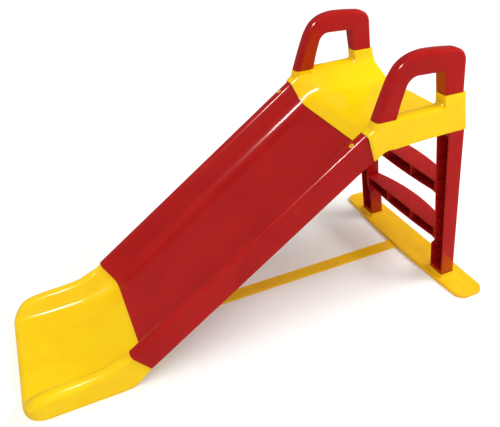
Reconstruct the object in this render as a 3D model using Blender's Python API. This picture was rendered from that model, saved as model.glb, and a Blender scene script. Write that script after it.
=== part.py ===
"""Toddler slide: bed, foot scoop, platform, two arched handles, two-step ladder, base plate and tie strap.

Metres, +Z up. The rider slides towards -X; the ladder stands at +X. "left" is the seated
rider's left hand, which is the -Y side. Stations are measured along X from the front of the foot.
"""

import math

import bmesh
import bpy
from mathutils import Matrix, Vector

LENGTH = 1.300
GAP = 0.0004
WALL = 0.0035

# Slide bed: the flat wall tops lie on one straight line in the XZ plane.
BED_FOOT_X = 0.269
BED_FOOT_Z = 0.111
BED_SLOPE = math.radians(35.9)
BED_RUN = 0.762
BED_END_SHEAR = 0.28
BED_FLOOR_RUN = 0.774
BED_DEPTH = 0.055
BED_OUTER_DROP = 0.074
BED_OUTER_Y = 0.201
BED_INNER_Y = 0.173
BED_CREASE_Y = 0.147

# Platform
PLATFORM_Y = 0.209
LEAN = 0.178
PLATFORM_REAR_X = 1.151
PLATFORM_REAR_Z = 0.619
LIP_RUN = 0.748

# Handles
HANDLE_MID_Y = 0.1910
HANDLE_HALF_Y = 0.0150
HANDLE_ROUND = 0.0105

# Ladder
POST_FRONT_X0 = 1.219
POST_REAR_X0 = 1.264
POST_OUTER_Y = 0.2085
POST_BOTTOM_Z = 0.0080
POST_SHOULDER_Z = 0.5170
POST_TOP_Z = 0.5440
STEP_TOPS = (0.180, 0.346)
STEP_NAMES = ("step_lower", "step_upper")
STEP_BULGE = 0.027
STEP_HEIGHT = 0.036
STEP_WALL = 0.0032
STEP_RIB_Y = 0.0580

# Base plate and tie strap
PLATE_HALF_Y = 0.306
PLATE_FRONT_X = 1.192
PLATE_REAR_X = 1.300
PLATE_Z = 0.011
STRAP_HALF_Y = 0.0190
STRAP_TOP_Z = 0.0060
STRAP_FRONT_X = 0.236
STRAP_REAR_X = 1.232

SIDES = (("left", -1.0), ("right", 1.0))

RED = (0.409, 0.010, 0.009)
YELLOW = (0.973, 0.637, 0.012)
STEEL = (0.55, 0.56, 0.57)


def clear_scene():
    for obj in list(bpy.data.objects):
        bpy.data.objects.remove(obj, do_unlink=True)


def material(name, colour, roughness, metallic):
    mat = bpy.data.materials.new(name)
    mat.use_nodes = True
    shader = mat.node_tree.nodes["Principled BSDF"]
    shader.inputs["Base Color"].default_value = (*colour, 1.0)
    shader.inputs["Roughness"].default_value = roughness
    shader.inputs["Metallic"].default_value = metallic
    mat.diffuse_color = (*colour, 1.0)
    return mat


def red_plastic(name):
    return material(name, RED, 0.28, 0.0)


def yellow_plastic(name):
    return material(name, YELLOW, 0.28, 0.0)


def zinc_steel(name):
    return material(name, STEEL, 0.35, 1.0)


def at(station, y, z):
    """A point from its station along the slide."""
    return Vector((station - LENGTH / 2, y, z))


def object_from(name, verts, faces, mat=None, merge=1e-6):
    bm = bmesh.new()
    made = [bm.verts.new(v) for v in verts]
    for face in faces:
        bm.faces.new([made[i] for i in face])
    if merge:
        bmesh.ops.remove_doubles(bm, verts=bm.verts[:], dist=merge)
        bmesh.ops.dissolve_degenerate(bm, dist=merge, edges=bm.edges[:])
    bmesh.ops.recalc_face_normals(bm, faces=bm.faces[:])
    if bm.calc_volume(signed=True) < 0:
        bmesh.ops.reverse_faces(bm, faces=bm.faces[:])
    mesh = bpy.data.meshes.new(name)
    bm.to_mesh(mesh)
    bm.free()
    obj = bpy.data.objects.new(name, mesh)
    bpy.context.scene.collection.objects.link(obj)
    if mat:
        obj.data.materials.append(mat)
    return obj


def loft(name, rings, mat=None, shell=False):
    """A closed solid through rings of equal point count, with flat end caps.

    A shell's ring runs along its top line and back along its under line. Its bands are
    split into triangles the same way on both sides, so that its wall keeps its thickness.
    """
    count = len(rings[0])
    verts = [p for ring in rings for p in ring]
    faces = []
    for k in range(len(rings) - 1):
        a, b = k * count, (k + 1) * count
        for i in range(count):
            j = (i + 1) % count
            if not shell:
                faces.append((a + i, a + j, b + j, b + i))
            elif i < count // 2:
                faces.append((a + i, a + j, b + j))
                faces.append((a + i, b + j, b + i))
            else:
                faces.append((a + i, a + j, b + i))
                faces.append((a + j, b + j, b + i))
    last = (len(rings) - 1) * count
    faces.append(tuple(reversed(range(count))))
    faces.append(tuple(range(last, last + count)))
    return object_from(name, verts, faces, mat)


def helper(obj):
    obj.hide_render = True
    obj.display_type = "WIRE"
    return obj


def combine(obj, other, operation):
    mod = obj.modifiers.new(operation.title() + " " + other.name, "BOOLEAN")
    mod.operation = operation
    mod.solver = "EXACT"
    mod.object = helper(other)


def cut(obj, other):
    combine(obj, other, "DIFFERENCE")


def fuse(obj, other):
    combine(obj, other, "UNION")


def smooth(obj, degrees=32.0):
    obj.data.shade_smooth()
    obj.data.set_sharp_from_angle(angle=math.radians(degrees))


def offset_line(points, distance):
    """The open line moved to its right-hand side by a distance, with mitred corners."""
    moved = []
    for i, (a, b) in enumerate(points):
        before = points[max(i - 1, 0)]
        after = points[min(i + 1, len(points) - 1)]
        d1 = Vector((a - before[0], b - before[1]))
        d2 = Vector((after[0] - a, after[1] - b))
        d1 = d1.normalized() if d1.length > 1e-9 else d2.normalized()
        d2 = d2.normalized() if d2.length > 1e-9 else d1
        n1 = Vector((d1.y, -d1.x))
        n2 = Vector((d2.y, -d2.x))
        mid = (n1 + n2).normalized()
        scale = distance / max(mid.dot(n1), 0.4)
        moved.append((a + mid.x * scale, b + mid.y * scale))
    return moved


def mirrored(half):
    """A section from -Y to +Y, out of its +Y half that starts at the middle."""
    left = [(-y, z) for y, z in reversed(half) if y > 1e-9]
    return left + list(half)


def lerp(a, b, t):
    return a + (b - a) * t


def table(rows, x):
    """Linear reading of a short list of (x, value) pairs."""
    if x <= rows[0][0]:
        return rows[0][1]
    for (x0, v0), (x1, v1) in zip(rows, rows[1:]):
        if x <= x1:
            return lerp(v0, v1, (x - x0) / (x1 - x0))
    return rows[-1][1]


def box(name, x0, x1, y0, y1, z0, z1, lean=0.0, mat=None):
    """A box whose X limits are those at z = 0 and lean towards -X with height."""
    rings = []
    for z in (z0, z1):
        rings.append([
            at(x0 - lean * z, y0, z),
            at(x1 - lean * z, y0, z),
            at(x1 - lean * z, y1, z),
            at(x0 - lean * z, y1, z),
        ])
    return loft(name, rings, mat)


def turned(name, profile, centre, axis, segments, mat=None):
    """A solid of revolution: profile rows are (distance along the axis, radius)."""
    axis = Vector(axis).normalized()
    side = axis.orthogonal().normalized()
    other = axis.cross(side)
    rings = []
    for height, radius in profile:
        ring = []
        for k in range(segments):
            a = 2 * math.pi * k / segments
            ring.append(centre + axis * height + (side * math.cos(a) + other * math.sin(a)) * radius)
        rings.append(ring)
    return loft(name, rings, mat)


def screw(name, seat, axis, shank_radius, length, head_radius, head_height):
    """A pan-head screw. The axis points from the tip to the head and the head sits on the seat."""
    profile = [
        (-length, shank_radius * 0.45),
        (-length + shank_radius * 1.4, shank_radius),
        (0.0, shank_radius),
        (0.0, head_radius),
        (head_height * 0.55, head_radius),
        (head_height, head_radius * 0.62),
        (head_height, head_radius * 0.28),
        (head_height * 0.45, head_radius * 0.22),
    ]
    obj = turned(name, profile, seat, axis, 14, zinc_steel("zinc_" + name))
    smooth(obj)
    return obj


def screw_hole(host, name, seat, axis, shank_radius, length, head_radius, head_height):
    """Clearance for a screw: a bore along its shank and a counterbore for its head."""
    profile = [
        (-length - 0.0012, shank_radius + GAP),
        (-0.0002, shank_radius + GAP),
        (-0.0002, head_radius + 0.0007),
        (head_height + 0.030, head_radius + 0.0007),
    ]
    cut(host, turned(name, profile, seat, axis, 14))


# ---------------------------------------------------------------- slide bed

BED_ALONG = Vector((math.cos(BED_SLOPE), 0.0, math.sin(BED_SLOPE)))
BED_NORMAL = Vector((-math.sin(BED_SLOPE), 0.0, math.cos(BED_SLOPE)))


def bed_point(run, y, depth):
    """A point from its run up the slope, its y and its height over the wall-top line."""
    return at(BED_FOOT_X, y, BED_FOOT_Z) + BED_ALONG * run + BED_NORMAL * depth


def bed_half_section():
    d = BED_DEPTH
    return [
        (0.0, -d),
        (0.100, -d),
        (BED_CREASE_Y - 0.020, -d + 0.0008),
        (BED_CREASE_Y - 0.008, -d + 0.0055),
        (BED_CREASE_Y + 0.001, -d + 0.0155),
        (BED_INNER_Y - 0.0050, -0.0100),
        (BED_INNER_Y - 0.0015, -0.0032),
        (BED_INNER_Y + 0.0040, 0.0),
        (BED_OUTER_Y - 0.0060, 0.0),
        (BED_OUTER_Y - 0.0017, -0.0018),
        (BED_OUTER_Y, -0.0060),
        (BED_OUTER_Y, -BED_OUTER_DROP),
    ]


def bed_upper_run(y, depth):
    if abs(y) <= BED_CREASE_Y - 0.018:
        return BED_FLOOR_RUN
    return BED_RUN + BED_END_SHEAR * depth


def make_slide_bed():
    top = mirrored(bed_half_section())
    under = offset_line(top, WALL)
    under[0] = (top[0][0] + WALL, top[0][1])
    under[-1] = (top[-1][0] - WALL, top[-1][1])
    loop = top + list(reversed(under))
    uppers = [bed_upper_run(y, d) for y, d in top]
    uppers = uppers + list(reversed(uppers))
    rings = []
    for share in (0.0, 0.33, 0.67, 1.0):
        rings.append([bed_point(up * share, y, d) for (y, d), up in zip(loop, uppers)])
    bed = loft("slide_bed", rings, red_plastic("red_slide_bed"), shell=True)
    for side, sign in SIDES:
        seat = foot_screw_seat(sign)
        fuse(bed, turned("bed_boss_" + side, [(0.0004, 0.0055), (0.0080, 0.0055)], seat, BED_NORMAL, 16))
        screw_hole(bed, "cut_foot_screw_" + side, seat, -BED_NORMAL, 0.0017, 0.0070, 0.0072, 0.0022)
    for side, sign in SIDES:
        seat = plug_seat(sign)
        profile = [(-0.020, 0.0040), (0.0, 0.0040), (0.0, 0.0064), (0.010, 0.0064)]
        cut(bed, turned("cut_bed_plug_" + side, profile, seat, BED_NORMAL, 20))
    smooth(bed)
    return bed


def foot_screw_seat(sign):
    """Underside of the foot's tongue, where a screw head clamps it to the bed's boss."""
    return bed_point(0.024, sign * 0.090, -BED_DEPTH - 2 * WALL - GAP - 0.0004)


def plug_seat(sign):
    return bed_point(0.724, sign * 0.187, -0.0014)


def make_bed_plugs():
    for side, sign in SIDES:
        seat = plug_seat(sign)
        profile = [
            (-0.0190, 0.0030),
            (-0.0175, 0.0036),
            (0.0003, 0.0036),
            (0.0003, 0.0060),
            (0.0016, 0.0060),
            (0.0026, 0.0051),
            (0.0026, 0.0021),
            (0.0010, 0.0018),
        ]
        plug = turned("bed_plug_" + side, profile, seat, BED_NORMAL, 20, yellow_plastic("yellow_plug_" + side))
        smooth(plug)
        outer = [(-0.0152, 0.0078), (-0.0092, 0.0078)]
        nut = turned("bed_nut_" + side, outer, seat, BED_NORMAL, 6, red_plastic("red_nut_" + side))
        cut(nut, turned("cut_nut_" + side, [(-0.03, 0.0040), (0.01, 0.0040)], seat, BED_NORMAL, 20))


# ---------------------------------------------------------------- foot scoop

FOOT_CORNER = 0.055
FOOT_HALF_Y = 0.1970
FOOT_FLOOR = (
    (0.000, 0.0100),
    (0.006, 0.0185),
    (0.016, 0.0250),
    (0.034, 0.0275),
    (0.100, 0.0275),
    (0.160, 0.0290),
    (0.200, 0.0325),
    (0.235, 0.0400),
)
FOOT_RIM = (
    (0.000, 0.0100),
    (0.006, 0.0200),
    (0.016, 0.0300),
    (0.034, 0.0455),
    (0.060, 0.0548),
    (0.100, 0.0600),
    (0.160, 0.0635),
    (0.200, 0.0690),
    (0.235, 0.0840),
)
FOOT_STATIONS = (0.0, 0.006, 0.016, 0.034, 0.060, 0.100, 0.160, 0.200, 0.235)
FOOT_RUNS = (-0.014, 0.012, 0.046)
FOOT_SKIRT = (-0.039, -0.083)
FOOT_BOSS_X = 0.262


def foot_half_width(x):
    if x >= FOOT_CORNER:
        return FOOT_HALF_Y
    reach = FOOT_CORNER - x
    return FOOT_HALF_Y - FOOT_CORNER + math.sqrt(FOOT_CORNER ** 2 - reach ** 2)


def foot_half_section(x, inset):
    """Top line of the scoop from the middle outwards, then down its outer flange."""
    wide = foot_half_width(max(x, inset * 0.5)) - inset
    floor = table(FOOT_FLOOR, x) - inset
    rim = max(table(FOOT_RIM, x) - inset, floor + 0.0002)
    crease = min(0.141, wide - 0.030)
    run = wide - crease
    rise = rim - floor
    bottom = -0.02 if inset else (0.0 if x < 0.22 else 0.004)
    edge = min(0.0015, 0.2 * rise)
    return [
        (0.0, floor),
        (crease * 0.65, floor),
        (crease - 0.016, floor + 0.02 * rise),
        (crease - 0.001, floor + 0.13 * rise),
        (crease + 0.20 * run, floor + 0.33 * rise),
        (crease + 0.48 * run, floor + 0.72 * rise),
        (crease + 0.64 * run, floor + 0.91 * rise),
        (crease + 0.78 * run, rim),
        (wide - 0.0055, rim - 0.0001),
        (wide - 0.0015, rim - edge),
        (wide, rim - 4.0 * edge),
        (wide + (0.0 if inset else 0.0010), bottom),
    ]


def foot_rings(inset, stations):
    rings = []
    for x in stations:
        rings.append([at(x, y, z) for y, z in mirrored(foot_half_section(x, inset))])
    lined = offset_line(mirrored(bed_half_section()), WALL + GAP + inset)
    lined[0] = (lined[0][0], lined[0][1] - (0.03 if inset else 0.0))
    lined[-1] = (lined[-1][0], lined[-1][1] - (0.03 if inset else 0.0))
    for run in FOOT_RUNS:
        more = 0.02 if inset and run == FOOT_RUNS[-1] else 0.0
        rings.append([bed_point(run + more, y, d) for y, d in lined])
    if not inset:
        skirt = rings[len(stations)]
        skirt[0] = bed_point(FOOT_SKIRT[0], -FOOT_HALF_Y, FOOT_SKIRT[1])
        skirt[-1] = bed_point(FOOT_SKIRT[0], FOOT_HALF_Y, FOOT_SKIRT[1])
    return rings


def make_foot_scoop():
    foot = loft("foot_scoop", foot_rings(0.0, FOOT_STATIONS), yellow_plastic("yellow_foot_scoop"))
    inner = (0.0040, 0.010, 0.020, 0.034, 0.060, 0.100, 0.160, 0.200, 0.235)
    cut(foot, loft("cut_foot_inside", foot_rings(WALL, inner)))
    for side, sign in SIDES:
        seat = foot_screw_seat(sign)
        cut(foot, turned("cut_foot_tongue_" + side, [(-0.01, 0.0060), (0.01, 0.0060)], seat, BED_NORMAL, 16))
    fuse(foot, box("foot_strap_boss", FOOT_BOSS_X - 0.009, FOOT_BOSS_X + 0.009, -0.010, 0.010, STRAP_TOP_Z + GAP, 0.0445))
    smooth(foot)
    return foot


def make_foot_screws():
    for side, sign in SIDES:
        seat = foot_screw_seat(sign)
        screw("foot_screw_" + side, seat, -BED_NORMAL, 0.0017, 0.0070, 0.0070, 0.0022)


# ---------------------------------------------------------------- platform

PLATFORM_FRONT_SECTION = (
    (0.0, -0.055),
    (0.100, -0.055),
    (0.127, -0.0542),
    (0.139, -0.0495),
    (0.148, -0.0395),
    (0.168, -0.0100),
    (0.1715, -0.0032),
    (0.177, 0.0),
    (0.198, 0.0),
    (0.206, -0.0018),
    (PLATFORM_Y, -0.0060),
    (PLATFORM_Y, -0.0700),
)
PLATFORM_REAR_SECTION = (
    (0.0, 0.5415),
    (0.085, 0.5420),
    (0.108, 0.5455),
    (0.123, 0.5530),
    (0.138, 0.5640),
    (0.155, 0.5755),
    (0.170, 0.5845),
    (0.183, 0.5920),
    (0.193, 0.5938),
    (0.203, 0.5885),
    (PLATFORM_Y, 0.5760),
    (PLATFORM_Y, 0.5195),
)
PLATFORM_MID_DROPS = (0.0045, 0.0040, 0.0035, 0.0030, 0.0030, 0.0030, 0.0032, 0.0032, 0.0032, 0.0032, 0.0032, 0.0060)


def platform_bed_ring(shift, above):
    """A platform ring parallel to the bed's upper end. The lip keeps above the bed's floor."""
    top = mirrored(PLATFORM_FRONT_SECTION)
    raised = offset_line(top, -(WALL + GAP))
    clear = offset_line(top, -GAP)
    under = offset_line(top, WALL)
    points = []
    for i, (y, d) in enumerate(top):
        on_floor = abs(y) <= 0.1395
        if on_floor:
            outer, inner = raised[i], clear[i]
            run_at = LIP_RUN + shift
        else:
            outer, inner = (y, d), under[i]
            run_at = None
        points.append((outer, inner, run_at, d))
    loop = []
    for outer, inner, run_at, d in points:
        loop.append(bed_point(run_at or BED_RUN + 0.0006 + shift + BED_END_SHEAR * outer[1], *outer))
    for k, (outer, inner, run_at, d) in enumerate(reversed(points)):
        y, depth = inner
        if k in (0, len(points) - 1):
            y, depth = math.copysign(PLATFORM_Y - WALL, outer[0]), outer[1]
        loop.append(bed_point(run_at or BED_RUN + 0.0006 + shift + BED_END_SHEAR * depth, y, depth))
    return loop


def platform_rear_x(z):
    return PLATFORM_REAR_X + 0.27 * (PLATFORM_REAR_Z - z)


def platform_ring(back, drop):
    """A platform ring leaning with the ladder, this far in front of the rear edge."""
    half = [(y, z - drop * fall) for (y, z), fall in zip(PLATFORM_REAR_SECTION, PLATFORM_MID_DROPS)]
    top = mirrored(half)
    under = offset_line(top, WALL)
    under[0] = (top[0][0] + WALL, top[0][1])
    under[-1] = (top[-1][0] - WALL, top[-1][1])
    lean = 1.0 - 0.8 * min(1.0, back / 0.19)
    loop = []
    for y, z in top + list(reversed(under)):
        x = PLATFORM_REAR_X + 0.27 * lean * (PLATFORM_REAR_Z - z) - back
        loop.append(at(x, y, z))
    return loop


def front_collar(name, sign, lower, upper, wall):
    rings = []
    for z, x0, x1 in (lower, upper):
        y0, y1 = sorted((sign * (HANDLE_MID_Y - HANDLE_HALF_Y - wall), sign * (HANDLE_MID_Y + HANDLE_HALF_Y + wall)))
        rings.append([at(x0, y0, z), at(x1, y0, z), at(x1, y1, z), at(x0, y1, z)])
    return loft(name, rings)


def make_platform():
    rings = [
        platform_bed_ring(0.0, 0.0),
        platform_bed_ring(0.030, 0.0),
        platform_ring(0.185, 1.5),
        platform_ring(0.140, 1.0),
        platform_ring(0.070, 0.5),
        platform_ring(0.0, 0.0),
    ]
    platform = loft("platform", rings, yellow_plastic("yellow_platform"), shell=True)
    for side, sign in SIDES:
        collar = front_collar("front_collar_" + side, sign, (0.5480, 0.8962, 0.9560), (0.5870, 0.9032, 0.9600), 0.0034)
        fuse(platform, collar)
        rear = front_collar("rear_collar_" + side, sign, (0.5170, 1.1135, 1.1795), (0.6190, 1.0910, 1.1535), 0.0032)
        fuse(platform, rear)
        fuse(platform, bed_tongue(side, sign))
        cut(platform, handle("cut_handle_" + side, sign, 0.0005))
        y0, y1 = sorted((sign * (POST_OUTER_Y - 0.0040 + GAP), sign * (POST_OUTER_Y - 0.0335 - GAP)))
        tenon = box("cut_tenon_" + side, POST_FRONT_X0 + 0.0040 - GAP, POST_REAR_X0 - 0.0035 + GAP,
                    y0, y1, 0.500, POST_TOP_Z + 0.0006, 0.172)
        cut(platform, tenon)
        seat = plug_seat(sign)
        cut(platform, turned("cut_tongue_plug_" + side, [(-0.03, 0.0040), (0.01, 0.0040)], seat, BED_NORMAL, 20))
        for spot in ("front", "rear"):
            place, axis = handle_screw_seat(spot, sign)
            screw_hole(platform, "cut_%s_screw_%s" % (spot, side), place, axis, 0.0018, 0.0160, 0.0040, 0.0020)
        place, axis = post_screw_seat(sign)
        screw_hole(platform, "cut_post_screw_" + side, place, axis, 0.0018, 0.0240, 0.0040, 0.0020)
    smooth(platform)
    return platform


def bed_tongue(side, sign):
    """The tab under a wall top of the bed that takes the plug."""
    rings = []
    for run in (0.700, 0.781):
        ring = []
        for y, d in ((0.1800, -WALL - GAP), (0.1955, -WALL - GAP), (0.1955, -2 * WALL - GAP), (0.1800, -2 * WALL - GAP)):
            ring.append(bed_point(run, sign * y, d))
        rings.append(ring)
    return loft("bed_tongue_" + side, rings)


def handle_screw_seat(spot, sign):
    """Where a screw head bears under the web below a handle leg, and the screw's axis."""
    if spot == "front":
        return at(0.9255, sign * HANDLE_MID_Y, 0.5480), (0.17, 0.0, -1.0)
    return at(1.1375, sign * HANDLE_MID_Y, 0.5470), (0.20, 0.0, -1.0)


def post_screw_seat(sign):
    return at(1.1720, sign * 0.1900, 0.5310), (1.0, 0.0, 0.16)


# ---------------------------------------------------------------- handles

HANDLE_LINE = (
    ((0.9505, 0.5560), (0.8982, 0.5560)),
    ((0.9560, 0.5870), (0.9072, 0.5870)),
    ((0.9630, 0.6280), (0.9200, 0.6320)),
    ((0.9690, 0.6520), (0.9290, 0.6600)),
    ((0.9770, 0.6710), (0.9400, 0.6880)),
    ((0.9870, 0.6810), (0.9560, 0.7110)),
    ((1.0010, 0.6855), (0.9800, 0.7255)),
    ((1.0200, 0.6860), (1.0100, 0.7320)),
    ((1.0500, 0.6850), (1.0500, 0.7315)),
    ((1.0800, 0.6840), (1.0850, 0.7285)),
    ((1.0800, 0.6840), (1.1080, 0.7250)),
    ((1.0800, 0.6840), (1.1250, 0.7160)),
    ((1.0800, 0.6840), (1.1345, 0.7020)),
    ((1.0800, 0.6840), (1.1380, 0.6840)),
    ((1.0950, 0.6190), (1.1495, 0.6190)),
    ((1.1100, 0.5560), (1.1615, 0.5560)),
)


def handle(name, sign, grow, mat=None):
    """An arched handle: sharp edges round the opening and rounded edges outside."""
    half = HANDLE_HALF_Y + grow
    rings = []
    for k, (inner, outer) in enumerate(HANDLE_LINE):
        a = Vector((inner[0], inner[1]))
        b = Vector((outer[0], outer[1]))
        way = (b - a).normalized()
        a = a - way * grow
        b = b + way * grow
        depth = (b - a).length
        r = HANDLE_ROUND / depth
        down = grow if k in (0, len(HANDLE_LINE) - 1) else 0.0
        section = [
            (0.0, -half),
            (0.0, half),
            (1.0 - r, half),
            (1.0 - 0.30 * r, half - 0.30 * HANDLE_ROUND),
            (1.0, half - HANDLE_ROUND),
            (1.0, -half + HANDLE_ROUND),
            (1.0 - 0.30 * r, -half + 0.30 * HANDLE_ROUND),
            (1.0 - r, -half),
        ]
        ring = []
        for share, y in section:
            p = a.lerp(b, share)
            ring.append(at(p.x, sign * HANDLE_MID_Y + y, p.y - down))
        rings.append(ring)
    return loft(name, rings, mat)


def make_handles():
    for side, sign in SIDES:
        obj = handle("handle_" + side, sign, 0.0, red_plastic("red_handle_" + side))
        for spot in ("front", "rear"):
            place, axis = handle_screw_seat(spot, sign)
            screw_hole(obj, "cut_handle_%s_%s" % (spot, side), place, axis, 0.0018, 0.0160, 0.0040, 0.0020)
            screw("handle_screw_%s_%s" % (spot, side), place, axis, 0.0018, 0.0160, 0.0040, 0.0020)
        smooth(obj)


# ---------------------------------------------------------------- ladder

POST_INNER = ((0.0, 0.1565), (0.106, 0.1565), (0.141, 0.1700), (0.484, 0.1618), (0.488, 0.1555), (0.520, 0.1555))
POST_WALL = 0.0038
CHANNEL_LEVELS = (0.034, 0.106, 0.141, 0.500)


def post_front_x(z):
    return POST_FRONT_X0 - 0.176 * z


def post_rear_x(z):
    return POST_REAR_X0 - 0.170 * z


def post_channel(name, sign):
    """The hollow of a post, open towards the slide over most of its height."""
    rings = []
    for z in CHANNEL_LEVELS:
        inner = table(POST_INNER[:4] + ((0.520, 0.1618),), z) + POST_WALL
        y0, y1 = sorted((sign * inner, sign * (POST_OUTER_Y - POST_WALL)))
        x0, x1 = post_front_x(z) - 0.010, post_rear_x(z) - POST_WALL
        rings.append([at(x0, y0, z), at(x1, y0, z), at(x1, y1, z), at(x0, y1, z)])
    return loft(name, rings)


def make_posts():
    for side, sign in SIDES:
        rings = []
        for z in (POST_BOTTOM_Z, 0.106, 0.141, 0.484, 0.488, POST_SHOULDER_Z):
            inner = table(POST_INNER, z)
            y0, y1 = sorted((sign * inner, sign * POST_OUTER_Y))
            x0, x1 = post_front_x(z), post_rear_x(z)
            rings.append([at(x0, y0, z), at(x1, y0, z), at(x1, y1, z), at(x0, y1, z)])
        post = loft("ladder_post_" + side, rings, red_plastic("red_post_" + side))
        y0, y1 = sorted((sign * (POST_OUTER_Y - 0.0040), sign * (POST_OUTER_Y - 0.0335)))
        fuse(post, box("post_tenon_" + side, POST_FRONT_X0 + 0.0040, POST_REAR_X0 - 0.0035,
                       y0, y1, 0.505, POST_TOP_Z, 0.172))
        cut(post, post_channel("cut_post_channel_" + side, sign))
        for (name, top) in zip(STEP_NAMES, STEP_TOPS):
            cut(post, step_tenon("cut_mortise_%s_%s" % (name, side), sign, top, GAP))
            place, axis = step_screw_seat(sign, top)
            screw_hole(post, "cut_%s_screw_%s" % (name, side), place, axis, 0.0018, 0.0300, 0.0040, 0.0020)
        place, axis = handle_screw_seat("rear", sign)
        cut(post, turned("cut_post_head_" + side, [(-0.001, 0.0052), (0.006, 0.0052)], place, axis, 14))
        place, axis = post_screw_seat(sign)
        screw_hole(post, "cut_post_top_" + side, place, axis, 0.0018, 0.0240, 0.0040, 0.0020)
        screw("post_screw_" + side, place, axis, 0.0018, 0.0240, 0.0040, 0.0020)
        place, axis = base_screw_seat(sign)
        screw_hole(post, "cut_post_base_" + side, place, axis, 0.0018, 0.0220, 0.0040, 0.0020)
        screw("base_screw_" + side, place, axis, 0.0018, 0.0220, 0.0040, 0.0020)
        smooth(post)


def step_end_y(top):
    return 0.1676 if top < 0.25 else 0.1640


def step_tenon(name, sign, top, grow):
    y0, y1 = sorted((sign * (step_end_y(top) - 0.012), sign * (step_end_y(top) + 0.012 + grow)))
    z0, z1 = top - 0.024, top - 0.006
    return box(name, POST_FRONT_X0 + 0.012 - grow, POST_REAR_X0 - 0.012 + grow, y0, y1, z0 - grow, z1 + grow, 0.173)


def step_screw_seat(sign, top):
    z = top - 0.015
    return at(post_rear_x(z) - 0.0024, sign * (step_end_y(top) + 0.0062), z), (1.0, 0.0, 0.17)


def step_limits(y, top):
    """Rear bulge and lowest level of a step at one y."""
    share = min(1.0, abs(y) / step_end_y(top))
    return STEP_BULGE * (1.0 - share ** 2), top - STEP_HEIGHT - 0.008 * (1.0 - share ** 2)


def step_ring(y, top):
    """An XZ section of a step at one y."""
    bulge, low = step_limits(y, top)
    r = 0.0025
    return [
        at(post_front_x(top) + r, y, top),
        at(post_rear_x(top) + bulge - r * 1.6, y, top),
        at(post_rear_x(top) + bulge, y, top - r * 1.6),
        at(post_rear_x(low) + bulge, y, low),
        at(post_front_x(low), y, low),
        at(post_front_x(top), y, top - r),
    ]


def step_hollow_ring(y, top):
    """The same section of the hollow, which is open towards the slide."""
    bulge, low = step_limits(y, top)
    low = low + STEP_WALL
    high = top - STEP_WALL
    return [
        at(post_front_x(high) - 0.010, y, high),
        at(post_rear_x(high) + bulge - STEP_WALL, y, high),
        at(post_rear_x(low) + bulge - STEP_WALL, y, low),
        at(post_front_x(low) - 0.010, y, low),
    ]


def make_steps():
    for name, top in zip(STEP_NAMES, STEP_TOPS):
        end = step_end_y(top)
        ys = [end * k for k in (-1.0, -0.75, -0.5, -0.25, 0.0, 0.25, 0.5, 0.75, 1.0)]
        step = loft(name, [step_ring(y, top) for y in ys], red_plastic("red_" + name))
        rib = STEP_RIB_Y
        spans = ((-end + 0.0035, -rib - 0.0013), (-rib + 0.0013, rib - 0.0013), (rib + 0.0013, end - 0.0035))
        for k, (y0, y1) in enumerate(spans):
            inner = [step_hollow_ring(lerp(y0, y1, t), top) for t in (0.0, 0.25, 0.5, 0.75, 1.0)]
            cut(step, loft("cut_%s_%d" % (name, k), inner))
        for side, sign in SIDES:
            fuse(step, step_tenon("tenon_%s_%s" % (name, side), sign, top, 0.0))
            place, axis = step_screw_seat(sign, top)
            screw_hole(step, "cut_tenon_%s_%s" % (name, side), place, axis, 0.0018, 0.0300, 0.0040, 0.0020)
            screw("%s_screw_%s" % (name, side), place, axis, 0.0018, 0.0300, 0.0040, 0.0020)
        smooth(step)


# ---------------------------------------------------------------- base plate and strap

def plate_outline(inset):
    """The plate's plan: both long edges bow outwards a little and the ends are rounded."""
    points = []
    half = PLATE_HALF_Y - inset
    radius = 0.032
    straight = PLATE_HALF_Y - radius
    front_bow, rear_bow = 0.012, 0.001
    for k in range(7):
        y = lerp(-straight, straight, k / 6)
        points.append((PLATE_FRONT_X + inset + front_bow * (y / straight) ** 2, y))
    cx0 = PLATE_FRONT_X + front_bow + radius
    cx1 = PLATE_REAR_X - rear_bow - radius
    for k in range(1, 6):
        a = math.pi / 2 * k / 6
        points.append((cx0 - (radius - inset) * math.cos(a), straight + (half - straight) * math.sin(a)))
    for k in range(0, 6):
        a = math.pi / 2 * k / 6
        points.append((cx1 + (radius - inset) * math.sin(a), straight + (half - straight) * math.cos(a)))
    for k in range(7):
        y = lerp(straight, -straight, k / 6)
        points.append((PLATE_REAR_X - inset - rear_bow * (y / straight) ** 2, y))
    for k in range(1, 6):
        a = math.pi / 2 * k / 6
        points.append((cx1 + (radius - inset) * math.cos(a), -straight - (half - straight) * math.sin(a)))
    for k in range(0, 6):
        a = math.pi / 2 * k / 6
        points.append((cx0 - (radius - inset) * math.sin(a), -straight - (half - straight) * math.cos(a)))
    return points


def plate_ring(inset, z):
    return [at(x, y, z) for x, y in plate_outline(inset)]


def base_screw_seat(sign):
    return at(1.2380, sign * 0.1830, 0.0030), (0.17, 0.0, -1.0)


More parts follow.
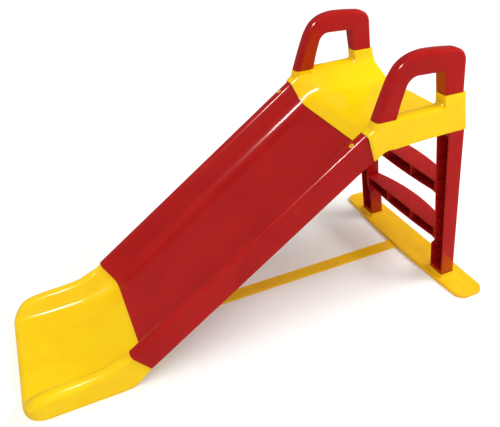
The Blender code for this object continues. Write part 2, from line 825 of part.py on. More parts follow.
def make_base_plate():
    rings = [plate_ring(0.0, 0.0), plate_ring(0.0, PLATE_Z - 0.0025), plate_ring(0.0022, PLATE_Z)]
    plate = loft("base_plate", rings, yellow_plastic("yellow_base_plate"))
    for side, sign in SIDES:
        ys = sorted((sign * 0.1518, sign * 0.2135))
        rings = []
        for front_z, rear_z, flare in ((0.0040, 0.0040, 0.0050), (0.0270, 0.0420, 0.0)):
            x0 = post_front_x(front_z) - 0.0050 - flare
            x1 = post_rear_x(rear_z) + 0.0055 + flare
            y0, y1 = ys[0] - flare, ys[1] + flare
            rings.append([at(x0, y0, front_z), at(x1, y0, rear_z), at(x1, y1, rear_z), at(x0, y1, front_z)])
        fuse(plate, loft("kerb_" + side, rings))
    for side, sign in SIDES:
        y0, y1 = sorted((sign * (0.1565 - GAP), sign * (POST_OUTER_Y + GAP)))
        rings = []
        for z in (POST_BOTTOM_Z - GAP, 0.060):
            x0, x1 = post_front_x(z) - GAP, post_rear_x(z) + GAP
            rings.append([at(x0, y0, z), at(x1, y0, z), at(x1, y1, z), at(x0, y1, z)])
        cut(plate, loft("cut_socket_" + side, rings))
        y0, y1 = sorted((sign * 0.2240, sign * 0.2960))
        cut(plate, box("cut_plate_end_" + side, PLATE_FRONT_X + 0.024, PLATE_REAR_X - 0.014, y0, y1, -0.01, 0.0076))
        y0, y1 = sorted((sign * 0.0240, sign * 0.1420))
        cut(plate, box("cut_plate_mid_" + side, PLATE_FRONT_X + 0.008, PLATE_REAR_X - 0.006, y0, y1, -0.01, 0.0076))
        y0, y1 = sorted((sign * 0.0300, sign * 0.1400))
        cut(plate, box("cut_dish_" + side, PLATE_FRONT_X + 0.013, PLATE_REAR_X - 0.010, y0, y1, 0.0102, 0.02))
        place, axis = base_screw_seat(sign)
        screw_hole(plate, "cut_base_screw_" + side, place, axis, 0.0018, 0.0220, 0.0040, 0.0020)
    cut(plate, box("cut_strap_slot", 1.150, STRAP_REAR_X + 0.0006, -STRAP_HALF_Y - 0.0006, STRAP_HALF_Y + 0.0006, -0.01, STRAP_TOP_Z + GAP))
    place, axis = strap_pin_seat("rear")
    screw_hole(plate, "cut_plate_pin", place, axis, 0.0022, 0.0062, 0.0045, 0.0014)
    smooth(plate)


def strap_pin_seat(spot):
    if spot == "front":
        return at(FOOT_BOSS_X, 0.0, 0.0024), (0.0, 0.0, -1.0)
    return at(1.214, 0.0, 0.0024), (0.0, 0.0, -1.0)


def make_tie_strap():
    rings = []
    for x in (STRAP_FRONT_X, STRAP_FRONT_X + 0.012, STRAP_REAR_X - 0.012, STRAP_REAR_X):
        half = STRAP_HALF_Y - (0.008 if x in (STRAP_FRONT_X, STRAP_REAR_X) else 0.0)
        rings.append([
            at(x, -half, 0.0),
            at(x, half, 0.0),
            at(x, half, STRAP_TOP_Z - 0.001),
            at(x, half - 0.0010, STRAP_TOP_Z),
            at(x, -half + 0.0010, STRAP_TOP_Z),
            at(x, -half, STRAP_TOP_Z - 0.001),
        ])
    strap = loft("tie_strap", rings, yellow_plastic("yellow_tie_strap"))
    lengths = {"front": 0.0160, "rear": 0.0062}
    for spot, length in lengths.items():
        place, axis = strap_pin_seat(spot)
        screw_hole(strap, "cut_strap_" + spot, place, axis, 0.0022, length, 0.0045, 0.0014)
        screw("strap_pin_" + spot, place, axis, 0.0022, length, 0.0045, 0.0014)
    foot = bpy.data.objects["foot_scoop"]
    place, axis = strap_pin_seat("front")
    screw_hole(foot, "cut_foot_pin", place, axis, 0.0022, lengths["front"], 0.0045, 0.0014)
    smooth(strap)


def main():
    clear_scene()
    make_slide_bed()
    make_bed_plugs()
    make_foot_scoop()
    make_foot_screws()
    make_platform()
    make_handles()
    make_posts()
    make_steps()
    make_base_plate()
    make_tie_strap()


if __name__ == "__main__":
    main()
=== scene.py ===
"""Toddler slide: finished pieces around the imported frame.

Metres, +Z up. The rider slides towards -X and the ladder stands at +X. "left" is the -Y side.
Stations are measured along X from the front edge of the foot.
"""

import logging
import math
from collections.abc import Sequence
from dataclasses import dataclass, field
from enum import Enum
from typing import TypeVar

import bmesh
import bpy
from mathutils import Euler, Matrix, Vector

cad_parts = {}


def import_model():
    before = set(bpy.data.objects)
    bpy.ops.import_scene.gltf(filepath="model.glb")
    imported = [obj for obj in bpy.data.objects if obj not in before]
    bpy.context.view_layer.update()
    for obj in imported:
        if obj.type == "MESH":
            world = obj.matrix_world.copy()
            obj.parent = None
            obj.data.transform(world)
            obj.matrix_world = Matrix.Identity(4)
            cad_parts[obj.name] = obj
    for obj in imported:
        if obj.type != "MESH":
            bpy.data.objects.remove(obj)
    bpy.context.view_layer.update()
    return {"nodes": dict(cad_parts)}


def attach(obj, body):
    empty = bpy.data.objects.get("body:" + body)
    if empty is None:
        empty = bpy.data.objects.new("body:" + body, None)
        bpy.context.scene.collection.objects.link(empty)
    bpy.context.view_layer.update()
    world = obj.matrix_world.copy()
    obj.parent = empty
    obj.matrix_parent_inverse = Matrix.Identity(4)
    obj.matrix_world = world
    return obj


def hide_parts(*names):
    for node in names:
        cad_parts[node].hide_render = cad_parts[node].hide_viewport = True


LOG = logging.getLogger("slide")
MM = 0.001
LENGTH = 1.300  # of the whole slide along X
GAP = 0.0004  # between two pieces that lie on each other
WALL = 0.0035  # of the bed, the foot and the platform
MERGE = 1e-6  # points nearer than this on a turned piece are one, twice it on a draped one

Pair = tuple[float, float]
Place = TypeVar("Place", float, Vector)


class Side(Enum):
    """The two sides of the slide, by the sign of their Y."""

    LEFT = -1.0
    RIGHT = 1.0

    @property
    def label(self) -> str:
        """The side's name as the nodes use it."""
        return self.name.lower()


class Fusion(Enum):
    """How a helper shape changes a piece."""

    JOIN = "UNION"
    CARVE = "DIFFERENCE"


# ------------------------------------------------------------------ points and lines


def at(station: float, y: float, z: float) -> Vector:
    """A point in the row frame from its station along the slide.

    Args:
        station: Distance from the foot's front edge along X.
        y: Distance from the middle plane.
        z: Height over the floor.

    Returns:
        The point.
    """
    return Vector((station - LENGTH / 2, y, z))


def lerp(a: float, b: float, share: float) -> float:
    """The value this share of the way from a to b."""
    return a + (b - a) * share


def even(low: float, high: float, count: int) -> list[float]:
    """Evenly spaced values from low to high, both included."""
    return [lerp(low, high, k / (count - 1)) for k in range(count)]


def ease(share: float) -> float:
    """A share limited to 0..1 and eased at both ends."""
    share = min(1.0, max(0.0, share))
    return share * share * (3.0 - 2.0 * share)


def glide(
    start: Place, end: Place, leave: Place, arrive: Place, wide: float, t: float
) -> Place:
    """A cubic between two values or points.

    Args:
        start: Where it starts.
        end: Where it ends.
        leave: Its slope at the start.
        arrive: Its slope at the end.
        wide: The length of the interval.
        t: Share of the interval to read it at.

    Returns:
        The value or point there.
    """
    near = start * (2 * t**3 - 3 * t**2 + 1) + leave * (wide * (t**3 - 2 * t**2 + t))
    return near + end * (3 * t**2 - 2 * t**3) + arrive * (wide * (t**3 - t**2))


def lengths(points: Sequence[Vector]) -> list[float]:
    """How far each point is along the line through them.

    Args:
        points: The line's points.

    Returns:
        One distance for each point, the first one 0.
    """
    marks = [0.0]
    for a, b in zip(points, points[1:]):
        marks.append(marks[-1] + (b - a).length)
    return marks


@dataclass(frozen=True)
class Curve:
    """A smooth line through a short table of (x, value) rows that never overshoots a row."""

    rows: tuple[Pair, ...]

    def slopes(self) -> list[float]:
        """The slope at each row, flat where the table turns.

        Returns:
            One slope for each row.
        """
        gaps = list(zip(self.rows, self.rows[1:]))
        steps = [(b[1] - a[1]) / (b[0] - a[0]) for a, b in gaps]
        made = [steps[0]]
        for one, two in zip(steps, steps[1:]):
            made.append(0.0 if one * two <= 0 else 2.0 * one * two / (one + two))
        return made + [steps[-1]]

    def at(self, x: float) -> float:
        """Reads the line.

        Args:
            x: Where to read it; past the ends the end rows hold.

        Returns:
            The value there.
        """
        x = min(max(x, self.rows[0][0]), self.rows[-1][0])
        slopes = self.slopes()
        for k, ((x0, v0), (x1, v1)) in enumerate(zip(self.rows, self.rows[1:])):
            if x <= x1:
                wide = x1 - x0
                return glide(v0, v1, slopes[k], slopes[k + 1], wide, (x - x0) / wide)
        return self.rows[-1][1]


def flowing(
    points: Sequence[Vector], knots: Sequence[float], times: Sequence[float]
) -> list[Vector]:
    """A smooth line through points, read at given times.

    Args:
        points: The points that the line passes.
        knots: The time of each point, rising.
        times: The times to read the line at.

    Returns:
        One point for each time.
    """
    last = len(points) - 1
    slopes = []
    for k in range(last + 1):
        a, b = max(k - 1, 0), min(k + 1, last)
        if a == k or b == k:
            slopes.append((points[b] - points[a]) / (knots[b] - knots[a]))
            continue
        before, after = knots[k] - knots[a], knots[b] - knots[k]
        one, two = (points[k] - points[a]) / before, (points[b] - points[k]) / after
        slopes.append((one * after + two * before) / (before + after))
    line = []
    for time in times:
        k = 0
        while k < last - 1 and time > knots[k + 1]:
            k += 1
        wide = knots[k + 1] - knots[k]
        t = (time - knots[k]) / wide
        line.append(glide(points[k], points[k + 1], slopes[k], slopes[k + 1], wide, t))
    return line


def sections(
    keys: Sequence[Sequence[Vector]], knots: Sequence[float], times: Sequence[float]
) -> list[list[Vector]]:
    """Sections between key sections, each corner on a smooth line of its own.

    Args:
        keys: The corners of the key sections.
        knots: The time of each key section, rising.
        times: The times to read the sections at.

    Returns:
        The corners of one section for each time.
    """
    tracks = [flowing([key[k] for key in keys], knots, times) for k in range(len(keys[0]))]
    return [list(corners) for corners in zip(*tracks)]


def corner_arc(
    before: Vector, corner: Vector, after: Vector, radius: float, steps: int
) -> list[Vector]:
    """The arc that rounds one corner.

    Args:
        before: The corner's neighbour on one side.
        corner: The corner.
        after: Its neighbour on the other side.
        radius: The arc's radius, cut down where the straights are short.
        steps: How many pieces the arc has.

    Returns:
        The arc's points, both ends included.
    """
    one, two = before - corner, after - corner
    if min(one.length, two.length) < 1e-7:
        return [corner.copy() for _ in range(steps + 1)]
    turn = math.pi - one.angle(two)
    back = min(radius * math.tan(turn / 2), 0.47 * one.length, 0.47 * two.length)
    start = corner + one.normalized() * back
    end = corner + two.normalized() * back
    pull = math.cos(turn / 2)
    arc = []
    for k in range(steps + 1):
        t = k / steps
        a, b, c = (1 - t) ** 2, 2 * pull * t * (1 - t), t * t
        arc.append((start * a + corner * b + end * c) / (a + b + c))
    return arc


def rounded(
    corners: Sequence[Vector],
    radii: Sequence[float],
    spans: Sequence[int],
    steps: int = 6,
    closed: bool = False,
) -> list[Vector]:
    """A line with rounded corners.

    Args:
        corners: The line's corners, in two or three dimensions.
        radii: One for each corner, or for each inner corner of an open line.
        spans: How many pieces each straight run is split into.
        steps: How many pieces each arc has.
        closed: Whether the line comes back to its start, which is then repeated at its end.

    Returns:
        The points of the line.
    """
    count = len(corners)
    arcs = []
    for k in range(count):
        if not closed and k in (0, count - 1):
            arcs.append([corners[k].copy()])
            continue
        radius = radii[k] if closed else radii[k - 1]
        arcs.append(corner_arc(corners[k - 1], corners[k], corners[(k + 1) % count], radius, steps))
    line = []
    for k, arc in enumerate(arcs):
        line.extend(arc)
        if k == count - 1 and not closed:
            break
        ahead = arcs[(k + 1) % count][0]
        for j in range(1, spans[k]):
            line.append(arc[-1].lerp(ahead, j / spans[k]))
    if closed:
        line.append(line[0].copy())
    return line


def offset_line(points: Sequence[Pair], distance: float) -> list[Pair]:
    """An open line moved to its right-hand side with mitred corners.

    Args:
        points: The line.
        distance: How far it moves; a negative distance moves it left.

    Returns:
        The moved line.
    """
    moved = []
    for k, (a, b) in enumerate(points):
        before, after = points[max(k - 1, 0)], points[min(k + 1, len(points) - 1)]
        one, two = Vector((a - before[0], b - before[1])), Vector((after[0] - a, after[1] - b))
        one = one.normalized() if one.length > 1e-9 else two.normalized()
        two = two.normalized() if two.length > 1e-9 else one
        side = Vector((one.y + two.y, -one.x - two.x)).normalized()
        reach = distance / max(side.dot(Vector((one.y, -one.x))), 0.4)
        moved.append((a + side.x * reach, b + side.y * reach))
    return moved


def mirrored(half: Sequence[Pair]) -> list[Pair]:
    """A section from -Y to +Y out of its +Y half, which doesn't touch the middle."""
    return [(-y, z) for y, z in reversed(half)] + list(half)


@dataclass
class Track:
    """A line of points that can be read by the distance along it."""

    points: list[Vector]
    marks: list[float] = field(init=False)

    def __post_init__(self) -> None:
        """Measures the distance of each point along the line."""
        self.marks = lengths(self.points)

    def mark_near(self, point: Vector) -> float:
        """The distance along the line of its point nearest to this one."""
        best = min(range(len(self.points)), key=lambda k: (self.points[k] - point).length)
        return self.marks[best]

    def at(self, mark: float) -> Vector:
        """Reads the line.

        Args:
            mark: The distance along it.

        Returns:
            The point there.
        """
        mark = min(max(mark, 0.0), self.marks[-1])
        for k in range(len(self.points) - 1):
            if mark <= self.marks[k + 1]:
                wide = max(self.marks[k + 1] - self.marks[k], 1e-9)
                return self.points[k].lerp(self.points[k + 1], (mark - self.marks[k]) / wide)
        return self.points[-1].copy()


# ------------------------------------------------------------------ meshes


def mesh_object(name: str, bm: bmesh.types.BMesh) -> bpy.types.Object:
    """Turns a bmesh into an object at the origin and frees the bmesh.

    Args:
        name: The object's name.
        bm: The bmesh.

    Returns:
        The object.
    """
    mesh = bpy.data.meshes.new(name)
    bm.to_mesh(mesh)
    bm.free()
    obj = bpy.data.objects.new(name, mesh)
    bpy.context.scene.collection.objects.link(obj)
    return obj


def draped_grid(rows: Sequence[Sequence[Vector]]) -> bmesh.types.BMesh:
    """A grid whose points are moved onto rows of points.

    Args:
        rows: Rows of equal length, one after another along the piece.

    Returns:
        The grid as an open sheet.
    """
    bm = bmesh.new()
    across, along = len(rows[0]), len(rows)
    bmesh.ops.create_grid(bm, x_segments=across - 1, y_segments=along - 1, size=1.0)
    ordered = sorted(bm.verts, key=lambda v: (round(v.co.y, 5), round(v.co.x, 5)))
    places = [point for row in rows for point in row]
    for vert, place in zip(ordered, places, strict=True):
        vert.co = place
    return bm


def face_out(bm: bmesh.types.BMesh, closed: bool) -> None:
    """Turns a closed shape's faces outwards, and an open sheet's faces up.

    Args:
        bm: The shape.
        closed: Whether it is closed.
    """
    bmesh.ops.recalc_face_normals(bm, faces=bm.faces[:])
    if closed:
        turned_out = bm.calc_volume(signed=True)
    else:
        turned_out = sum(face.normal.z * face.calc_area() for face in bm.faces)
    if turned_out < 0:
        bmesh.ops.reverse_faces(bm, faces=bm.faces[:])


def draped(name: str, rows: Sequence[Sequence[Vector]], closed: bool) -> bpy.types.Object:
    """A piece draped over rows of points.

    Args:
        name: The object's name.
        rows: The rows, each coming back to its start on a closed piece.
        closed: Whether it is a solid, whose ends are filled, or an open sheet.

    Returns:
        The piece.
    """
    bm = draped_grid(rows)
    bmesh.ops.remove_doubles(bm, verts=bm.verts[:], dist=2 * MERGE)
    if closed:
        rim = [edge for edge in bm.edges if edge.is_boundary]
        bmesh.ops.holes_fill(bm, edges=rim, sides=0)
        bmesh.ops.dissolve_degenerate(bm, dist=MERGE, edges=bm.edges[:])
    face_out(bm, closed)
    return mesh_object(name, bm)


def sheet(name: str, rows: Sequence[Sequence[Vector]]) -> bpy.types.Object:
    """An open sheet that faces up."""
    return draped(name, rows, closed=False)


def block(name: str, rows: Sequence[Sequence[Vector]]) -> bpy.types.Object:
    """A closed solid through closed rows, with both ends filled."""
    return draped(name, rows, closed=True)


def spun(profile: Sequence[Pair], segments: int) -> bmesh.types.BMesh:
    """A profile turned once round Z.

    Args:
        profile: Rows of (height, radius).
        segments: How many pieces the full turn has.

    Returns:
        The turned shape.
    """
    bm = bmesh.new()
    verts = [bm.verts.new((radius, 0.0, height)) for height, radius in profile]
    edges = [bm.edges.new(pair) for pair in zip(verts, verts[1:])]
    bmesh.ops.spin(
        bm,
        geom=verts + edges,
        cent=(0, 0, 0),
        axis=(0, 0, 1),
        angle=math.tau,
        steps=segments,
        use_merge=True,
    )
    bmesh.ops.remove_doubles(bm, verts=bm.verts[:], dist=MERGE)
    return bm


def turned(
    name: str, profile: Sequence[Pair], seat: Vector, axis: Vector, segments: int = 48
) -> bpy.types.Object:
    """A solid of revolution, spun from its profile.

    Args:
        name: The object's name.
        profile: Rows of (distance along the axis, radius), starting and ending on the axis.
        seat: Where distance 0 is.
        axis: The axis that distances rise along.
        segments: How many pieces the full turn has.

    Returns:
        The solid.
    """
    bm = spun(profile, segments)
    turn = Vector((0, 0, 1)).rotation_difference(axis.normalized()).to_matrix().to_4x4()
    bmesh.ops.transform(bm, matrix=Matrix.Translation(seat) @ turn, verts=bm.verts[:])
    face_out(bm, closed=True)
    return mesh_object(name, bm)


def drum(
    name: str, seat: Vector, axis: Vector, low: float, high: float, radius: float
) -> bpy.types.Object:
    """A plain round cutter from low to high along its axis."""
    return turned(name, [(low, 0.0), (low, radius), (high, radius), (high, 0.0)], seat, axis, 40)


def thicken(obj: bpy.types.Object) -> None:
    """Gives a sheet its wall on the underside.

    Args:
        obj: The sheet.
    """
    mod = obj.modifiers.new("wall", "SOLIDIFY")
    mod.thickness = WALL
    mod.offset = -1.0
    mod.use_even_offset = True
    mod.use_quality_normals = True
    settle(obj)


def soften(obj: bpy.types.Object, width: float, degrees: float) -> None:
    """Rounds the sharp edges of a piece.

    Args:
        obj: The piece.
        width: The width of the rounding.
        degrees: The angle that an edge is sharp from.
    """
    mod = obj.modifiers.new("soft edges", "BEVEL")
    mod.width = width
    mod.segments = 2
    mod.limit_method = "ANGLE"
    mod.angle_limit = math.radians(degrees)
    mod.use_clamp_overlap = True
    settle(obj)


def settle(obj: bpy.types.Object) -> None:
    """Makes the mesh that the modifiers give the object's own.

    Args:
        obj: The object.
    """
    graph = bpy.context.evaluated_depsgraph_get()
    mesh = bpy.data.meshes.new_from_object(obj.evaluated_get(graph))
    old = obj.data
    obj.modifiers.clear()
    obj.data = mesh
    mesh.name = obj.name
    bpy.data.meshes.remove(old)


def fuse(obj: bpy.types.Object, other: bpy.types.Object, how: Fusion) -> None:
    """Joins a helper to a piece or carves it out, and removes the helper.

    Args:
        obj: The piece.
        other: The helper.
        how: Whether it is joined or carved out.
    """
    mod = obj.modifiers.new(how.name, "BOOLEAN")
    mod.operation = how.value
    mod.solver = "EXACT"
    mod.object = other
    settle(obj)
    mesh = other.data
    bpy.data.objects.remove(other, do_unlink=True)
    bpy.data.meshes.remove(mesh)


def shade(obj: bpy.types.Object, degrees: float) -> None:
    """Smooth shading, with edges over an angle kept sharp."""
    obj.data.shade_smooth()
    obj.data.set_sharp_from_angle(angle=math.radians(degrees))


def side_ys(side: Side, inner: float, outer: float) -> list[float]:
    """Two y values on one side, lower first."""
    return sorted((side.value * inner, side.value * outer))


def box_corners(xs: Sequence[float], ys: Sequence[float], z: float) -> list[Vector]:
    """The four corners of a level rectangle, its stations first."""
    return [at(xs[0], ys[0], z), at(xs[1], ys[0], z), at(xs[1], ys[1], z), at(xs[0], ys[1], z)]


def prism(
    name: str,
    levels: Sequence[tuple[Sequence[float], Sequence[float], float]],
    radii: Sequence[float],
) -> bpy.types.Object:
    """An upright solid with rounded upright corners.

    Args:
        name: The object's name.
        levels: Rows of (two stations, two y, height), from the bottom up.
        radii: The radius of each of the four corners, from the first station and y round.

    Returns:
        The solid.
    """
    rows = []
    for xs, ys, z in levels:
        rows.append(rounded(box_corners(xs, ys, z), radii, (3, 3, 3, 3), 5, closed=True))
    return block(name, rows)


# ------------------------------------------------------------------ finishes


def linear(colour: str) -> tuple[float, float, float, float]:
    """An sRGB hex colour as linear RGBA.

    Args:
        colour: The colour as "#RRGGBB".

    Returns:
        The linear colour with full alpha.
    """
    made = []
    for k in (1, 3, 5):
        c = int(colour[k : k + 2], 16) / 255
        made.append(c / 12.92 if c <= 0.04045 else ((c + 0.055) / 1.055) ** 2.4)
    return (*made, 1.0)


def node(
    tree: bpy.types.NodeTree,
    kind: str,
    settings: dict[str, object] | None = None,
    links: dict[str | int, bpy.types.NodeSocket] | None = None,
) -> bpy.types.Node:
    """Adds a node.

    Args:
        tree: The material's node tree.
        kind: The node's type.
        settings: Values by property name, or by input name where there is no such property,
            and "stops" for the places and colours of a ramp.
        links: The output that feeds each named input.

    Returns:
        The node.
    """
    made = tree.nodes.new(kind)
    for key, value in (settings or {}).items():
        if key == "stops":
            for element, (place, colour) in zip(made.color_ramp.elements, value, strict=True):
                element.position, element.color = place, linear(colour)
        elif hasattr(made, key):
            setattr(made, key, value)
        else:
            made.inputs[key].default_value = value
    for key, source in (links or {}).items():
        tree.links.new(source, made.inputs[key])
    return made


@dataclass(frozen=True)
class Finish:
    """A finish in two near colours that its pattern mixes."""

    name: str
    light: str
    deep: str

    def start(
        self,
    ) -> tuple[bpy.types.Material, bpy.types.NodeTree, bpy.types.Node, bpy.types.NodeSocket]:
        """Starts the material.

        Returns:
            The material, its node tree, its shader and the Object coordinates.
        """
        mat = bpy.data.materials.new(self.name)
        mat.use_nodes = True
        mat.diffuse_color = linear(self.light)
        tree = mat.node_tree
        place = node(tree, "ShaderNodeTexCoord").outputs["Object"]
        return mat, tree, tree.nodes["Principled BSDF"], place

    def material(self) -> bpy.types.Material:
        """Builds the finish."""
        raise NotImplementedError


@dataclass(frozen=True)
class MouldedPolyethylene(Finish):
    """Glossy moulded polyethylene: a wet-looking skin over faint orange peel, with slow flow
    marks where the melt ran and fine hairlines from use that lift the roughness."""

    roughness: float = 0.20
    flow_mm: float = 130.0
    wear_mm: float = 60.0
    peel_mm: float = 4.0
    peel_height_mm: float = 0.008
    hairline_mm: float = 2.2
    wear: float = 0.05
    drag: tuple[float, float, float] = (0.16, 1.0, 1.0)

    def material(self) -> bpy.types.Material:
        """Builds the finish.

        Returns:
            The material.
        """
        mat, tree, shader, place = self.start()
        shader.inputs["IOR"].default_value = 1.51
        shader.inputs["Metallic"].default_value = 0.0
        flow = node(
            tree,
            "ShaderNodeTexNoise",
            {"Scale": 1000 / self.flow_mm, "Detail": 3.0, "Roughness": 0.55, "Distortion": 0.6},
            {"Vector": place},
        )
        tint = node(
            tree,
            "ShaderNodeValToRGB",
            {"stops": ((0.30, self.deep), (0.62, self.light))},
            {"Fac": flow.outputs["Fac"]},
        )
        along = node(tree, "ShaderNodeMapping", {"Scale": self.drag}, {"Vector": place})
        hairline = node(
            tree,
            "ShaderNodeTexNoise",
            {"Scale": 1000 / self.hairline_mm, "Detail": 2.0, "Roughness": 0.7},
            {"Vector": along.outputs["Vector"]},
        )
        worn = node(
            tree,
            "ShaderNodeTexNoise",
            {"Scale": 1000 / self.wear_mm, "Detail": 2.0},
            {"Vector": place},
        )
        rubbed = node(
            tree,
            "ShaderNodeMath",
            {"operation": "MULTIPLY"},
            {0: hairline.outputs["Fac"], 1: worn.outputs["Fac"]},
        )
        rough = node(
            tree,
            "ShaderNodeMapRange",
            {
                "From Min": 0.12,
                "From Max": 0.42,
                "To Min": self.roughness - self.wear * 0.4,
                "To Max": self.roughness + self.wear,
            },
            {"Value": rubbed.outputs["Value"]},
        )
        peel = node(
            tree,
            "ShaderNodeTexNoise",
            {"Scale": 1000 / self.peel_mm, "Detail": 1.0},
            {"Vector": place},
        )
        bump = node(
            tree,
            "ShaderNodeBump",
            {"Strength": 1.0, "Distance": self.peel_height_mm * MM},
            {"Height": peel.outputs["Fac"]},
        )
        tree.links.new(tint.outputs["Color"], shader.inputs["Base Color"])
        tree.links.new(rough.outputs["Result"], shader.inputs["Roughness"])
        tree.links.new(bump.outputs["Normal"], shader.inputs["Normal"])
        return mat


@dataclass(frozen=True)
class ZincPlate(Finish):
    """Bright zinc plate on steel: grey with a faint blue cast, spangled in small grains whose
    gloss differs, and brushed a little by the driver."""

    grain_mm: float = 1.1

    def material(self) -> bpy.types.Material:
        """Builds the finish.

        Returns:
            The material.
        """
        mat, tree, shader, place = self.start()
        shader.inputs["Metallic"].default_value = 1.0
        spangle = node(
            tree, "ShaderNodeTexVoronoi", {"Scale": 1000 / self.grain_mm}, {"Vector": place}
        )
        grains = node(tree, "ShaderNodeSeparateColor", None, {"Color": spangle.outputs["Color"]})
        tint = node(
            tree,
            "ShaderNodeValToRGB",
            {"stops": ((0.0, self.deep), (1.0, self.light))},
            {"Fac": grains.outputs["Red"]},
        )
        rough = node(
            tree,
            "ShaderNodeMapRange",
            {"To Min": 0.26, "To Max": 0.42},
            {"Value": grains.outputs["Green"]},
        )
        tree.links.new(tint.outputs["Color"], shader.inputs["Base Color"])
        tree.links.new(rough.outputs["Result"], shader.inputs["Roughness"])
        return mat


@dataclass(frozen=True)
class StudioPaint(Finish):
    """Matt white studio paint, rolled on, so it clouds faintly and hardly shines."""

    def material(self) -> bpy.types.Material:
        """Builds the finish.

        Returns:
            The material.
        """
        mat, tree, shader, place = self.start()
        shader.inputs["Roughness"].default_value = 0.9
        shader.inputs["Specular IOR Level"].default_value = 0.1
        mottle = node(
            tree, "ShaderNodeTexNoise", {"Scale": 3.0, "Detail": 2.0}, {"Vector": place}
        )
        tint = node(
            tree,
            "ShaderNodeValToRGB",
            {"stops": ((0.3, self.deep), (0.7, self.light))},
            {"Fac": mottle.outputs["Fac"]},
        )
        tree.links.new(tint.outputs["Color"], shader.inputs["Base Color"])
        return mat


RED_GLOSS = MouldedPolyethylene(
    "red_moulded_polyethylene", "#AE1411", "#A2100E", roughness=0.17
)
# A lighter copy of the same red, for the steps and the step screws: a painted sheen that stands in
# for the light the tread tops reflect.
RED_PAINTED_SHEEN = MouldedPolyethylene(
    "red_moulded_polyethylene_painted_sheen", "#B41815", "#A61311", roughness=0.24
)
YELLOW_GLOSS = MouldedPolyethylene(
    "yellow_moulded_polyethylene", "#F9CE0B", "#F6C507", roughness=0.17
)
AMBER_GLOSS = MouldedPolyethylene(
    "amber_moulded_polyethylene", "#F4C012", "#ECB30E", roughness=0.21
)
PLUG_GLOSS = MouldedPolyethylene(
    "yellow_plug_nylon", "#F0B51A", "#E2A014", roughness=0.30, flow_mm=20.0
)
ZINC = ZincPlate("zinc_plated_steel", "#C9CCCF", "#A9ADB2")
STUDIO_PAINT = StudioPaint("matt_studio_paint", "#FAFAF9", "#F8F8F6")


class Wardrobe:
    """Builds each finish once and dresses the pieces in it."""

    def __init__(self) -> None:
        """Starts with no materials."""
        self.made: dict[str, bpy.types.Material] = {}

    def cloth(self, finish: Finish) -> bpy.types.Material:
        """The material of a finish, built on its first use."""
        if finish.name not in self.made:
            self.made[finish.name] = finish.material()
        return self.made[finish.name]

    def dress(self, obj: bpy.types.Object, finish: Finish) -> None:
        """Gives every slot of an object one finish."""
        obj.data.materials.clear()
        obj.data.materials.append(self.cloth(finish))


@dataclass
class SubAssembly:
    """Sizes and methods that every sub-assembly shares."""

    wardrobe: Wardrobe

    def stand_for(
        self, obj: bpy.types.Object, finish: Finish, node_name: str
    ) -> None:
        """Dresses a finished piece and lets it stand for its CAD node.

        Args:
            obj: The piece.
            finish: Its finish.
            node_name: The CAD node it stands for, which is hidden.
        """
        self.wardrobe.dress(obj, finish)
        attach(obj, "root")
        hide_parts(node_name)
        LOG.info("%s: %d faces", obj.name, len(obj.data.polygons))

    def complete(
        self,
        obj: bpy.types.Object,
        finish: Finish,
        node_name: str,
        rounding: tuple[float, float],
        sharp: float,
    ) -> None:
        """Rounds a piece's sharp edges, shades it and lets it stand for its CAD node.

        Args:
            obj: The piece.
            finish: Its finish.
            node_name: The CAD node it stands for.
            rounding: The rounding's width, and the angle in degrees that it starts at.
            sharp: The angle in degrees that shading breaks at.
        """
        soften(obj, *rounding)
        shade(obj, sharp)
        self.stand_for(obj, finish, node_name)


# ------------------------------------------------------------------ slide bed


@dataclass(frozen=True)
class BedLine:
    """The straight line of the bed's wall tops, and places measured from it."""

    foot_x: float = 0.269
    foot_z: float = 0.111
    slope: float = math.radians(35.9)
    run: float = 0.762
    floor_run: float = 0.774
    end_shear: float = 0.28
    plug_run: float = 0.724
    plug_y: float = 0.187
    plug_depth: float = -0.0014

    @property
    def along(self) -> Vector:
        """The way up the slope."""
        return Vector((math.cos(self.slope), 0.0, math.sin(self.slope)))

    @property
    def normal(self) -> Vector:
        """The way out of the bed's floor."""
        return Vector((-math.sin(self.slope), 0.0, math.cos(self.slope)))

    def point(self, run: float, y: float, depth: float) -> Vector:
        """A point from its run up the slope, its y and its height over the wall-top line."""
        return at(self.foot_x, y, self.foot_z) + self.along * run + self.normal * depth

    def plug_seat(self, side: Side) -> Vector:
        """Where a plug's collar rests in its recess."""
        return self.point(self.plug_run, side.value * self.plug_y, self.plug_depth)


BED = BedLine()
BED_HALF = ((0.1375, -0.0550), (0.1748, 0.0), (0.2010, 0.0), (0.2010, -0.0740))
BED_RADII = (0.0400, 0.0105, 0.0105)


def both_ways(radii: Sequence[float]) -> list[float]:
    """The radii of a mirrored section's inner corners."""
    return [*reversed(radii), *radii]


